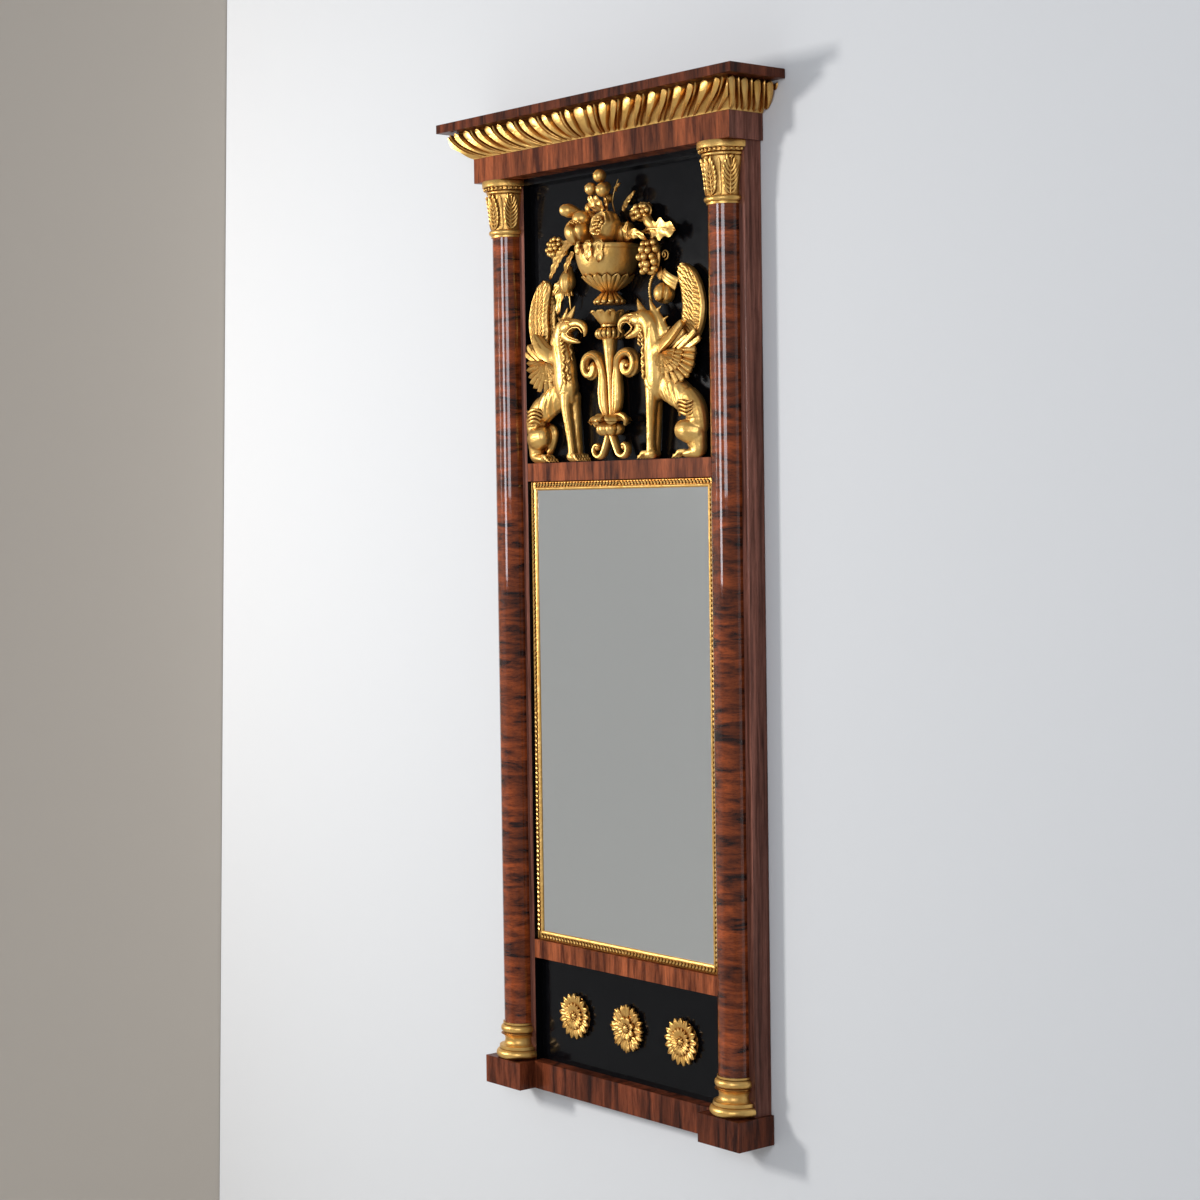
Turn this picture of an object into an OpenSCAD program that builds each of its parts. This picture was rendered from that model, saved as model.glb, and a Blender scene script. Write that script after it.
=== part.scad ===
// Pier mirror in the late classical taste: a mahogany case with two half-round
// columns, a gadrooned cornice, a bevelled plate, and two ebonised panels that
// carry gilt carving. Millimetres. +Z is up, the front faces -Y, and the wall
// is the plane Y = 0. The origin is on the wall, at the bottom, in the middle.

/* [Case] */
// Clear width between the stiles
opening_w = 504; // [496:1:540]
// Width of each stile
stile_w = 91.5; // [88:0.5:110]
// Depth of the stiles and rails
case_d = 36.5; // [34:0.5:46]
// How far the ebonised panels lie behind the stile faces
panel_recess = 16.5; // [12:0.5:20]
// Thickness of the ebonised panels
panel_t = 8; // [6:0.5:12]
// Width of the rebate that the panels sit in
rebate_w = 6; // [4:0.5:10]
// Length of the rail tenons
tenon_l = 28; // [15:1:40]
// Thickness of the rail tenons
tenon_t = 10; // [6:0.5:13]

/* [Heights] */
// Height of the plinth blocks and the base rail
plinth_h = 51; // [44:1:70]
// Clear height of the lower ebonised panel
lower_panel_h = 193; // [150:1:240]
// Height of the rail below the mirror
lower_rail_h = 34; // [28:1:50]
// Clear height of the opening for the mirror
mirror_h = 854; // [700:1:1000]
// Height of the rail above the mirror
upper_rail_h = 33; // [28:1:50]
// Clear height of the carved upper panel
upper_panel_h = 512; // [508:1:560]
// Height of the top rail, seen below the frieze
top_rail_h = 12; // [10:1:24]
// Height of the frieze
frieze_h = 45; // [36:1:60]
// Height of the gadrooned moulding
gadroon_h = 50; // [40:1:60]
// Thickness of the cornice board
board_t = 16; // [12:1:22]

/* [Plinth and frieze] */
// How far the plinth blocks and the frieze stand past the case sides
side_step = 6.5; // [3:0.5:10]
// How far each plinth block stands into the opening
plinth_inset = 6; // [3:0.5:10]
// Depth of the plinth blocks
plinth_d = 81; // [78:0.5:95]
// Depth of the base rail
base_rail_d = 45.5; // [42:0.5:60]
// Depth of the frieze
frieze_d = 76.5; // [72:0.5:90]
// Thickness of the frieze boards
frieze_t = 18; // [12:1:22]
// Thickness of the soffit board behind the frieze
soffit_t = 10; // [6:1:16]

/* [Cornice] */
// How far the gadroons stand out past the frieze
gadroon_out = 37.5; // [30:0.5:42]
// How far the lobes swell past the hollows between them
gadroon_swell = 6; // [3:0.5:8]
// Lobes on each half of the front
lobes_front = 13; // [9:1:16]
// Lobes on each return
lobes_return = 4; // [3:1:5]
// How far the lobes sweep towards the middle as they fall
lobe_sweep = 14; // [6:1:20]
// How far the cornice board stands past the frieze at the front
board_front = 46.5; // [44:0.5:54]
// How far the cornice board stands past the frieze at the sides
board_side = 54; // [44:0.5:60]

/* [Columns] */
// Radius of the half-round shafts
shaft_r = 31; // [27:0.5:33]
// Height of the turned bases
base_h = 67; // [60:1:80]
// Radius of the lower ring of the bases
base_r = 47; // [43:0.5:48]
// Height of the capitals
capital_h = 104; // [96:1:120]
// Radius of the round abacus on each capital
abacus_r = 48.5; // [45:0.5:50]
// Thickness of the abacus
abacus_t = 12; // [9:0.5:14]
// Radius of the ring at the foot of each capital
neck_r = 37.3; // [35:0.1:40]

/* [Mirror] */
// Thickness of the plate
plate_t = 5; // [4:0.5:6]
// Width of the bevel round the plate
bevel_w = 18; // [12:1:26]
// Depth of the bevel at the edge
bevel_d = 1.6; // [1:0.1:2.4]
// Gap between the plate and the case all round
plate_gap = 2; // [1:0.5:4]
// Width of the gilt moulding
moulding_w = 17; // [14:0.5:22]
// Height of the gilt moulding over the plate
moulding_t = 6; // [5:0.5:7.5]
// How far the moulding lies behind the stile faces
moulding_drop = 3; // [2:0.5:4]
// Number of horizontal boards behind the plate
back_boards = 3; // [2:1:5]
// Length of the wedges that hold the plate
wedge_l = 40; // [25:1:60]

/* [Rosettes] */
// Radius of the two outer rosettes
rosette_r = 42; // [34:1:48]
// Radius of the middle rosette
middle_rosette_r = 45; // [36:1:50]
// How far the rosettes stand out of the panel
rosette_t = 15; // [10:1:18]
// Distance between rosette centres
rosette_pitch = 147.5; // [120:0.5:160]
// Petals of the outer rosettes
petals = 16; // [12:1:20]

/* [Carving] */
// Height of each griffin, from the paws to the wing tip
griffin_h = 332; // [315:1:336]
// Gap between the griffins' haunches and the stiles
griffin_gap = 8; // [5:0.5:14]
// Distance of the tazza's and the candelabrum's axis from the panel
carving_axis = 24; // [20:0.5:27]
// Height of the candelabrum
candelabrum_h = 266; // [250:1:272]
// Height of the tazza without its fruit
tazza_h = 104; // [96:1:112]
// Radius of the tazza's rim
tazza_r = 61.5; // [54:0.5:66]
// Height of the tazza's foot over the rail
tazza_z = 275; // [272:1:290]
// Gap between the topmost fruit and the top rail
fruit_gap = 2.5; // [2:0.5:6]
// How far the hanging fruit is set in from the stiles
garland_in = 122; // [118:1:126]

/* [Hanging plates] */
// Radius of the hole that hangs on the wall screw
hook_r = 4; // [3:0.1:5]
// Width of each hanging plate
hang_w = 34; // [28:1:44]
// Height of each hanging plate
hang_h = 76; // [64:1:90]
// Thickness of each hanging plate
hang_t = 2; // [1.5:0.1:3]
// Height of the hooks below the top of the stiles
hook_drop = 60; // [50:1:80]
// Depth of the pocket behind each hook hole
pocket_d = 24; // [16:1:28]
// Shank radius of the small screws
screw_r = 1.75; // [1.5:0.05:2.2]
// Length of the small screws
screw_l = 18; // [12:1:24]

/* [Hidden] */
$fn = 48;

// Levels, from the bottom up
z_lower_rail = plinth_h + lower_panel_h;
z_mirror = z_lower_rail + lower_rail_h;
z_upper_rail = z_mirror + mirror_h;
z_carving = z_upper_rail + upper_rail_h;
z_top_rail = z_carving + upper_panel_h;
z_frieze = z_top_rail + top_rail_h;
z_gadroon = z_frieze + frieze_h;
z_board = z_gadroon + gadroon_h;
overall_h = z_board + board_t;

// Widths and depths
half_open = opening_w / 2;
half_case = half_open + stile_w;
half_frieze = half_case + side_step;
column_x = half_open + stile_w / 2;
panel_y = case_d - panel_recess;
column_y = case_d;
plate_y = case_d - moulding_drop - moulding_t;
block_x = half_open - plinth_inset;
rebate_gap = 0.5;
eps = 0.01;

mahogany = "#6b3a28";
ebony = "#242426";
gilt = "#c8922f";
pine = "#b08a5a";
brass = "#9c7b3a";
steel = "#6a6a6c";

// ---------------------------------------------------------------- helpers

module left() {
    mirror([1, 0, 0]) children();
}

// A block from its low corner to its high corner
module block(low, high) {
    translate(low) cube(high - low);
}

// Points on an arc about [x, z], from angle a0 to a1
function arc(x, z, r, a0, a1, n = 8) =
    [for (i = [0:n]) [x + r * cos(a0 + (a1 - a0) * i / n), z + r * sin(a0 + (a1 - a0) * i / n)]];

// Faces of a closed skin over m rings of n points
function skin_faces(m, n) = concat(
    [[for (k = [n - 1:-1:0]) k]],
    [[for (k = [0:n - 1]) (m - 1) * n + k]],
    [for (i = [0:m - 2], k = [0:n - 1], half = [0, 1])
        let (a = i * n + k, b = i * n + (k + 1) % n)
        half == 0 ? [a, b, a + n] : [b, b + n, a + n]]);

module skin(rings) {
    polyhedron(points = [for (ring = rings) each ring],
        faces = skin_faces(len(rings), len(rings[0])));
}

// Half of a turned piece: the flat back lies on the stile face
module half_turned(profile) {
    translate([column_x, -column_y, 0]) rotate([0, 0, 180])
        rotate_extrude(angle = 180) polygon(profile);
}

// Carved work is drawn as [across, out from the panel, up from the rail]
module on_panel() {
    translate([0, -panel_y, z_carving]) mirror([0, 1, 0]) children();
}

// Everything behind the panel face
module behind_panel() {
    block([-half_open, -100, -100], [half_open, 0, upper_panel_h + 100]);
}

// A limb through stations [across, out, up, half width, half depth], with round ends
limb_sides = 8;
function heading(path, i) =
    let (a = path[max(i - 1, 0)], b = path[min(i + 1, len(path) - 1)],
        t = [b[0] - a[0], b[2] - a[2]])
    t / max(norm(t), eps);
function tip(p, t, out, size) =
    [p[0] + t[0] * p[3] * out, p[1], p[2] + t[1] * p[3] * out, p[3] * size, p[4] * size];
function rounded(path) =
    let (t0 = -heading(path, 0), t1 = heading(path, len(path) - 1),
        p = path[0], q = path[len(path) - 1])
    concat([tip(p, t0, 0.9, 0.35), tip(p, t0, 0.55, 0.8)], path,
        [tip(q, t1, 0.55, 0.8), tip(q, t1, 0.9, 0.35)]);
function limb_ring(p, t) =
    [for (k = [0:limb_sides - 1])
        let (a = 360 * k / limb_sides, across = p[3] * cos(a), out = p[4] * sin(a))
        [p[0] - t[1] * across, max(p[1] + out, 0), p[2] + t[0] * across]];
module limb(path) {
    stations = rounded(path);
    skin([for (i = [0:len(stations) - 1]) limb_ring(stations[i], heading(stations, i))]);
}

// ------------------------------------------------------------------- case

module plinth_block() {
    color(mahogany) difference() {
        block([block_x, -plinth_d, 0], [half_frieze, 0, plinth_h]);
        base_tenon();
        stile_stub();
    }
}

base_tenon_h = 30;
stub_l = 14;
stub_margin = 14;

module base_tenon() {
    z0 = (plinth_h - base_tenon_h) / 2;
    block([block_x - eps, -base_rail_d / 2 - tenon_t / 2, z0],
        [block_x + tenon_l, -base_rail_d / 2 + tenon_t / 2, z0 + base_tenon_h]);
}

module stile_stub() {
    block([half_open + stub_margin, -case_d / 2 - tenon_t / 2, plinth_h - stub_l],
        [half_case - stub_margin, -case_d / 2 + tenon_t / 2, plinth_h + eps]);
}

module base_rail() {
    color(mahogany) {
        block([-block_x, -base_rail_d, 0], [block_x, 0, plinth_h]);
        base_tenon();
        left() base_tenon();
    }
}

// The front lip of a stile or rail is panel_recess deep; the tenons are cut in it
module rail_tenon(z, h) {
    shoulder = min(h / 5, 8);
    y = (case_d + panel_y) / 2;
    block([half_open - eps, -y - tenon_t / 2, z + shoulder],
        [half_open + tenon_l, -y + tenon_t / 2, z + h - shoulder]);
}

module rail(z, h, rebate_below, rebate_above) {
    low = rebate_below ? rebate_w : 0;
    high = rebate_above ? rebate_w : 0;
    block([-half_open, -case_d, z], [half_open, -panel_y, z + h]);
    block([-half_open - rebate_w, -panel_y - eps, z + low],
        [half_open + rebate_w, 0, z + h - high]);
    rail_tenon(z, h);
    left() rail_tenon(z, h);
}

module lower_rail() {
    color(mahogany) rail(z_lower_rail, lower_rail_h, true, true);
}

module upper_rail() {
    color(mahogany) rail(z_upper_rail, upper_rail_h, true, true);
}

module top_rail() {
    color(mahogany) rail(z_top_rail, top_rail_h, true, false);
}

hook_z = z_frieze - hook_drop;

module stile() {
    color(mahogany) difference() {
        union() {
            block([half_open, -case_d, plinth_h], [half_case, 0, z_frieze]);
            stile_stub();
        }
        block([half_open - eps, -panel_y, plinth_h - eps], [half_open + rebate_w, eps, z_frieze + eps]);
        rail_tenon(z_lower_rail, lower_rail_h);
        rail_tenon(z_upper_rail, upper_rail_h);
        rail_tenon(z_top_rail, top_rail_h);
        hanging_recess();
        hook_pocket();
        plate_screw_holes();
    }
}

// ------------------------------------------------------------- hanging

module hanging_outline() {
    square([hang_w, hang_h], center = true);
}

module hanging_recess() {
    translate([column_x, eps, hook_z]) rotate([90, 0, 0])
        linear_extrude(hang_t + eps) hanging_outline();
}

module hook_pocket() {
    translate([column_x, 0, hook_z]) rotate([90, 0, 0])
        cylinder(r = hook_r * 2, h = pocket_d);
}

screw_offset = hang_h / 2 - 9;

module at_plate_screws() {
    for (side = [-1, 1]) translate([column_x, 0, hook_z + side * screw_offset])
        rotate([90, 0, 0]) children();
}

module plate_screw_holes() {
    at_plate_screws() cylinder(r = screw_r, h = screw_l);
}

module hanging_plate() {
    color(brass) difference() {
        translate([column_x, 0, hook_z]) rotate([90, 0, 0])
            linear_extrude(hang_t) hanging_outline();
        translate([column_x, eps, hook_z]) rotate([90, 0, 0])
            cylinder(r = hook_r, h = hang_t + 2 * eps);
        at_plate_screws() translate([0, 0, -eps])
            cylinder(r1 = 2 * screw_r, r2 = screw_r, h = hang_t + 2 * eps);
    }
}

module plate_screws() {
    color(steel) for (side = [0, 1]) mirror([side, 0, 0]) at_plate_screws() {
        cylinder(r1 = 2 * screw_r, r2 = screw_r, h = hang_t);
        translate([0, 0, hang_t - eps]) cylinder(r = screw_r, h = screw_l - hang_t);
    }
}

// -------------------------------------------------------------- cornice

module frieze_front() {
    color(mahogany) translate([0, 0, z_frieze]) linear_extrude(frieze_h)
        polygon([[-half_frieze, -frieze_d], [half_frieze, -frieze_d],
            [half_frieze - frieze_t, frieze_t - frieze_d], [frieze_t - half_frieze, frieze_t - frieze_d]]);
}

module frieze_return() {
    color(mahogany) translate([0, 0, z_frieze]) linear_extrude(frieze_h)
        polygon([[half_frieze, -frieze_d], [half_frieze, 0],
            [half_frieze - frieze_t, 0], [half_frieze - frieze_t, frieze_t - frieze_d]]);
}

module frieze_soffit() {
    color(mahogany) block([frieze_t - half_frieze, frieze_t - frieze_d, z_frieze],
        [half_frieze - frieze_t, -frieze_t, z_frieze + soffit_t]);
}

module frieze_back() {
    color(pine) block([frieze_t - half_frieze, -frieze_t, z_frieze],
        [half_frieze - frieze_t, 0, z_board]);
}

block_l = 60;
block_count = 4;
block_side = 16;

// Glue blocks in the corner between the frieze and its soffit
module frieze_blocks() {
    reach = half_frieze - frieze_t - block_l;
    color(pine) for (i = [0:block_count - 1])
        translate([reach * (2 * i / (block_count - 1) - 1) - block_l / 2, frieze_t - frieze_d,
            z_frieze + soffit_t])
            rotate([90, 0, 90]) linear_extrude(block_l)
                polygon([[0, 0], [block_side, 0], [0, block_side]]);
}

// Gadroons: broad lobes with narrow hollows, swept to the middle as they fall
gadroon_seat = 14;
lobe_steps = 4;
rise_steps = 7;

// How far the moulding stands out at share v of its height
function ovolo(v) = gadroon_out * pow(sin(90 * min(v * 1.15, 1)), 0.8) - 3 * max(v - 0.87, 0) / 0.13;
// Swell of a lobe at share w of its width, full where the lobe is broad
function lobe(w, v) = gadroon_swell * (pow(sin(180 * w), 0.6) - 1) * sin(25 + 140 * v);

// One ring across the moulding, for share t of the way from the middle to the mitre
function gadroon_ring(t, lobes, half_length, depth) =
    let (w = t * lobes - floor(t * lobes))
    concat(
        [for (i = [0:rise_steps])
            let (v = i / rise_steps, out = ovolo(v) + lobe(w, v))
            [t * (half_length + out) - lobe_sweep * sin(180 * t) * pow(1 - v, 1.6),
                -depth - out, v * gadroon_h]],
        [[t * (half_length - gadroon_seat), gadroon_seat - depth, gadroon_h],
            [t * (half_length - gadroon_seat), gadroon_seat - depth, 0]]);

module gadroon_front() {
    steps = lobes_front * lobe_steps;
    half = [for (i = [0:steps]) gadroon_ring(i / steps, lobes_front, half_frieze, frieze_d)];
    flipped = [for (i = [steps:-1:1]) [for (p = half[i]) [-p[0], p[1], p[2]]]];
    color(gilt) translate([0, 0, z_gadroon]) skin(concat(flipped, half));
}

// The return is the same moulding, turned round the mitre
function return_ring(t, lobes) =
    let (w = t * lobes - floor(t * lobes))
    concat(
        [for (i = [0:rise_steps])
            let (v = i / rise_steps, out = ovolo(v) + lobe(w, v))
            [half_frieze + out,
                -t * (frieze_d + out) + lobe_sweep * sin(180 * t) * pow(1 - v, 1.6),
                v * gadroon_h]],
        [[half_frieze - gadroon_seat, -t * (frieze_d - gadroon_seat), gadroon_h],
            [half_frieze - gadroon_seat, -t * (frieze_d - gadroon_seat), 0]]);

module gadroon_return() {
    steps = lobes_return * lobe_steps;
    color(gilt) translate([0, 0, z_gadroon])
        skin([for (i = [steps:-1:0]) return_ring(i / steps, lobes_return)]);
}

cornice_screw_count = 5;

module cornice_board() {
    color(mahogany) difference() {
        block([-half_frieze - board_side, -frieze_d - board_front, z_board],
            [half_frieze + board_side, 0, overall_h]);
        at_cornice_screws() translate([0, 0, -eps]) cylinder(r = screw_r, h = board_t + 2 * eps);
        at_cornice_screws() translate([0, 0, board_t - hang_t])
            cylinder(r1 = screw_r, r2 = 2 * screw_r, h = hang_t + eps);
    }
}

module at_cornice_screws() {
    for (i = [0:cornice_screw_count - 1])
        translate([(2 * i / (cornice_screw_count - 1) - 1) * (half_frieze - 3 * frieze_t),
            -frieze_t / 2, z_board]) children();
}

module cornice_screws() {
    color(steel) at_cornice_screws() {
        cylinder(r = screw_r, h = board_t - hang_t + eps);
        translate([0, 0, board_t - hang_t]) cylinder(r1 = screw_r, r2 = 2 * screw_r, h = hang_t);
    }
}

// --------------------------------------------------------------- columns

module shaft() {
    color(mahogany) half_turned([[0, plinth_h + base_h], [shaft_r, plinth_h + base_h],
        [shaft_r, z_frieze - capital_h], [0, z_frieze - capital_h]]);
}

base_torus = 8.5;
base_fillet = 3.5;

// Attic base: plinth ring, fillet, hollow, upper ring and fillet
module column_base() {
    top = plinth_h + base_h;
    upper = shaft_r + 6.7;
    hollow_top = top - base_fillet - 16 - base_fillet;
    hollow_low = plinth_h + 2 * base_torus + 7;
    hollow_r = (hollow_top - hollow_low) / 2;
    color(gilt) half_turned(concat(
        [[0, plinth_h], [base_r - base_torus, plinth_h]],
        arc(base_r - base_torus, plinth_h + base_torus, base_torus, -90, 90, 10),
        [[base_r - 6, plinth_h + 2 * base_torus], [base_r - 6, hollow_low]],
        arc(shaft_r + 9, hollow_low + hollow_r, hollow_r, 270, 90, 10),
        [[shaft_r + 2, hollow_top], [shaft_r + 2, hollow_top + base_fillet]],
        arc(upper - 8, top - base_fillet - 8, 8, -90, 90, 10),
        [[shaft_r + 2.5, top - base_fillet], [shaft_r + 2.5, top], [0, top]]));
}

// Bell capital: necking ring, bell, ovolo, bead course and round abacus
bead_r = 2.8;
beads = 15;
ovolo_h = 7;
neck_ring = 5;

module capital() {
    foot = z_frieze - capital_h;
    bead_z = z_frieze - abacus_t - bead_r;
    ovolo_z = bead_z - bead_r - ovolo_h;
    bell_z = foot + 4 + 2 * neck_ring;
    bell_h = ovolo_z - bell_z;
    color(gilt) half_turned(concat(
        [[0, foot], [shaft_r + 2, foot], [shaft_r + 2, foot + 4]],
        arc(neck_r - neck_ring, foot + 4 + neck_ring, neck_ring, -90, 90, 8),
        [for (i = [0:8]) let (v = i / 8) [shaft_r + 0.8 + 5 * v + 4.5 * pow(v, 8), bell_z + v * bell_h]],
        arc(abacus_r - 11, ovolo_z + ovolo_h / 2, ovolo_h / 2, -90, 90, 6),
        [[abacus_r - 5.5, bead_z - bead_r], [abacus_r - 5.5, bead_z + bead_r],
            [abacus_r - 1, bead_z + bead_r], [abacus_r, bead_z + bead_r + 1.5],
            [abacus_r, z_frieze - 1.5], [abacus_r - 1, z_frieze], [0, z_frieze]]));
}

// ---------------------------------------------------- panels and mirror

module lower_panel() {
    color(ebony) block([-half_open - rebate_w + rebate_gap, -panel_y, plinth_h],
        [half_open + rebate_w - rebate_gap, panel_t - panel_y, z_lower_rail + rebate_w - rebate_gap]);
}

module upper_panel() {
    color(ebony) block([-half_open - rebate_w + rebate_gap, -panel_y, z_carving - rebate_w + rebate_gap],
        [half_open + rebate_w - rebate_gap, panel_t - panel_y, z_top_rail + rebate_w - rebate_gap]);
}

plate_half_w = half_open - plate_gap;
plate_low = z_mirror + plate_gap;
plate_high = z_upper_rail - plate_gap;

// Flat plate with a bevel worked round its front
module mirror_plate() {
    color("silver") difference() {
        block([-plate_half_w, -plate_y, plate_low], [plate_half_w, plate_t - plate_y, plate_high]);
        for (turn = [0, 180]) {
            rotate([0, turn, 0]) translate([plate_half_w, -plate_y, -plate_high - 1])
                linear_extrude(2 * plate_high + 2) bevel_outline();
        }
        translate([0, -plate_y, plate_low]) rotate([0, 90, 0]) bevel_run();
        translate([0, -plate_y, plate_high]) rotate([0, -90, 0]) bevel_run();
    }
}

// What the bevel takes off: the edge of the plate is at 0, its front at 0
module bevel_outline() {
    polygon([[1, -1], [1, bevel_d + bevel_d / bevel_w], [-bevel_w, 0], [-bevel_w, -1]]);
}

module bevel_run() {
    translate([0, 0, -half_open]) linear_extrude(opening_w) bevel_outline();
}

// Pine wedges glued to the case behind the plate
module plate_wedges() {
    side_t = plate_gap + 8;
    depth = panel_y > plate_y ? 4 : plate_y - plate_t - panel_y;
    color(pine) for (side = [-1, 1], i = [0:3])
        translate([side * half_open, plate_t - plate_y, z_mirror + mirror_h * (i + 0.5) / 4 - wedge_l / 2])
            linear_extrude(wedge_l) polygon([[0, 0], [-side * side_t, 0], [-side * 3, depth], [0, depth]]);
}

module back_boards() {
    low = z_mirror - rebate_w + rebate_gap;
    h = mirror_h + 2 * (rebate_w - rebate_gap);
    color(pine) for (i = [0:back_boards - 1])
        block([-half_open - rebate_w + rebate_gap, -panel_y, low + i * h / back_boards + rebate_gap / 2],
            [half_open + rebate_w - rebate_gap, panel_t - panel_y,
                low + (i + 1) * h / back_boards - rebate_gap / 2]);
}

nail_r = 0.9;
module board_nails() {
    color(steel) for (side = [-1, 1], i = [0:2 * back_boards - 1])
        translate([side * (half_open + rebate_w / 2), panel_t - panel_y,
            z_mirror + mirror_h * (i + 0.5) / (2 * back_boards)])
            rotate([-90, 0, 0]) cylinder(r = 2 * nail_r, h = 1);
}

// Gilt moulding: outer quirk, half-round and inner fillet, drawn over the plate
quirk_w = 3.5;
fillet_w = 3.5;
function moulding_profile() =
    let (bead = (moulding_w - quirk_w - fillet_w) / 2)
    concat([[0, 0], [0, 1.5], [quirk_w, 1.5]],
        arc(quirk_w + bead, moulding_t - bead, bead, 180, 0, 10),
        [[moulding_w - fillet_w, 2.5], [moulding_w, 2.5], [moulding_w, 0]]);

// A mitred length of moulding, centred on its outer edge, running along X
module moulding_bar(length) {
    intersection() {
        translate([-length / 2, 0, 0]) rotate([90, 0, 90]) linear_extrude(length)
            polygon(moulding_profile());
        linear_extrude(moulding_t + 1) polygon([[-length / 2, 0], [length / 2, 0],
            [length / 2 - moulding_w, moulding_w], [moulding_w - length / 2, moulding_w]]);
    }
}

module moulding_bottom() {
    color(gilt) translate([0, -plate_y, z_mirror]) rotate([90, 0, 0]) moulding_bar(opening_w);
}

module moulding_top() {
    color(gilt) translate([0, -plate_y, z_upper_rail]) rotate([90, 0, 0]) rotate([0, 0, 180])
        moulding_bar(opening_w);
}

module moulding_side() {
    color(gilt) translate([half_open, -plate_y, z_mirror + mirror_h / 2]) rotate([90, 0, 0])
        rotate([0, 0, 90]) moulding_bar(mirror_h);
}

// -------------------------------------------------------------- rosettes

rosette_z = plinth_h + lower_panel_h / 2;
petal_steps = 4;
rosette_rings = [[0.16, 0.72], [0.3, 0.5], [0.5, 0.66], [0.72, 0.95], [0.9, 1], [1, 0.72]];

// A rosette is a skin over rings of [share of radius, share of height]
function rosette_ring(r, count, share, height) =
    [for (k = [0:count * petal_steps - 1])
        let (a = 360 * k / (count * petal_steps), lobe = abs(sin(a * count / 2)),
            radius = r * share * (1 - 0.1 * share * (1 - lobe)))
        [radius * sin(a), -height * (1 - 0.22 * share * (1 - lobe)), radius * cos(a)]];

module rosette(x, r, count) {
    color(gilt) translate([x, -panel_y, rosette_z])
        skin(concat([rosette_ring(r, count, 0.93, 0)],
            [for (i = [len(rosette_rings) - 1:-1:0])
                rosette_ring(r, count, rosette_rings[i][0], rosette_rings[i][1] * rosette_t)]));
}

// --------------------------------------------------------------- griffins

// The figure is drawn 332 high, with x from the middle of the mirror
griffin_drawn_h = 332;
griffin_drawn_x = 244;
griffin_k = griffin_h / griffin_drawn_h;

module griffin_place() {
    on_panel() translate([half_open - griffin_gap, 0, 0]) scale(griffin_k)
        translate([-griffin_drawn_x, 0, 0]) children();
}

module toes(x, out) {
    for (i = [-1:1]) hull() {
        translate([x + 8, out + i * 3, 7]) sphere(r = 4, $fn = 8);
        translate([x - 2, out + i * 4.5, 3]) sphere(r = 2.8, $fn = 8);
    }
}

module griffin() {
    color(gilt) griffin_place() {
        // chest and belly
        limb([[112, 20, 128, 22, 19], [116, 21, 150, 25, 20], [118, 23, 180, 22, 18],
            [117, 28, 208, 18, 16], [112, 34, 230, 15, 14], [100, 39, 243, 14, 14]]);
        limb([[122, 18, 134, 24, 17], [150, 17, 114, 24, 17], [178, 18, 104, 22, 18], [200, 19, 92, 22, 19]]);
        // haunch and hind leg
        limb([[198, 20, 100, 21, 18], [208, 19, 78, 25, 19], [212, 19, 52, 27, 20], [219, 17, 26, 19, 15]]);
        limb([[222, 19, 62, 16, 17], [206, 22, 58, 19, 18], [190, 24, 54, 13, 14]]);
        limb([[226, 17, 10, 9, 12], [205, 18, 8, 7, 11], [180, 19, 7, 6, 10]]);
        limb([[206, 7, 62, 14, 8], [184, 7, 60, 11, 8], [183, 7, 44, 9, 7], [196, 7, 20, 8, 7]]);
        // outer and inner foreleg
        limb([[120, 30, 118, 13, 12], [117, 30, 92, 9, 10], [111, 27, 52, 7.5, 8.5], [108, 25, 14, 6.5, 8]]);
        limb([[106, 11, 118, 12, 11], [104, 9, 92, 8, 9], [102, 8, 52, 7, 8], [101, 8, 14, 6, 7]]);
        limb([[110, 25, 8, 7, 9], [94, 25, 5, 4.5, 8]]);
        limb([[103, 9, 8, 7, 8], [92, 9, 5, 4.5, 7]]);
        // head, beak and ear
        limb([[104, 39, 246, 15, 14], [88, 41, 248, 14, 13], [72, 41, 245, 10.5, 10], [60, 41, 242, 8, 8],
            [50, 41, 236, 5, 5], [50, 41, 229, 2.5, 3]]);
        limb([[84, 39, 231, 8, 9], [68, 40, 228, 5, 6], [58, 41, 226, 3, 4]]);
        hull() {
            translate([94, 35, 256]) sphere(r = 6, $fn = 8);
            translate([82, 33, 281]) sphere(r = 1.2, $fn = 8);
        }
        // crest down the back of the neck
        for (i = [0:2]) hull() {
            translate([114 + 5 * i, 33 - 2 * i, 250 - 14 * i]) sphere(r = 8, $fn = 8);
            translate([144 + 6 * i, 30 - 2 * i, 263 - 19 * i]) sphere(r = 2.5, $fn = 8);
        }
        wing_root();
        toes(84, 25);
        toes(84, 9);
        toes(170, 19);
    }
}

// A feather lies along X, from its root to its round tip
module feather(length, width, depth) {
    rotate([90, 0, 0]) translate([0, 0, -depth]) linear_extrude(depth) {
        translate([length - width / 2, 0]) circle(d = width, $fn = 12);
        polygon([[0, -width / 4], [length - width / 2, -width / 2], [length - width / 2, width / 2],
            [0, width / 4]]);
    }
}

wing_out = 12;
wing_t = 13;
wing_inner_out = 2;
// Centre and radius of the sickle's outer and inner edges
wing_outer = [131, 245, 105];
wing_inner = [68, 278, 123];
// The sickles are glued to the wing root at this level
wing_low = 204;
wing_root_x = 138;
wrist_z = 232;
wing_tip = [187.5, 325];
wing_tip_r = 7;

// Primary feathers between two arcs, with a round tip, on a short arm
module wing_outline() {
    difference() {
        intersection() {
            translate([wing_outer[0], wing_outer[1]]) circle(r = wing_outer[2]);
            translate([wing_root_x, wing_low]) square([100, wing_tip[1] - wing_low]);
        }
        intersection() {
            translate([wing_inner[0], wing_inner[1]]) circle(r = wing_inner[2]);
            translate([0, wrist_z]) square([200, 120]);
        }
        polygon([[100, wrist_z + eps], [183, wrist_z + eps], [168, 219], [150, 213], [100, 210]]);
    }
    translate(wing_tip) circle(r = wing_tip_r);
}

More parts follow.
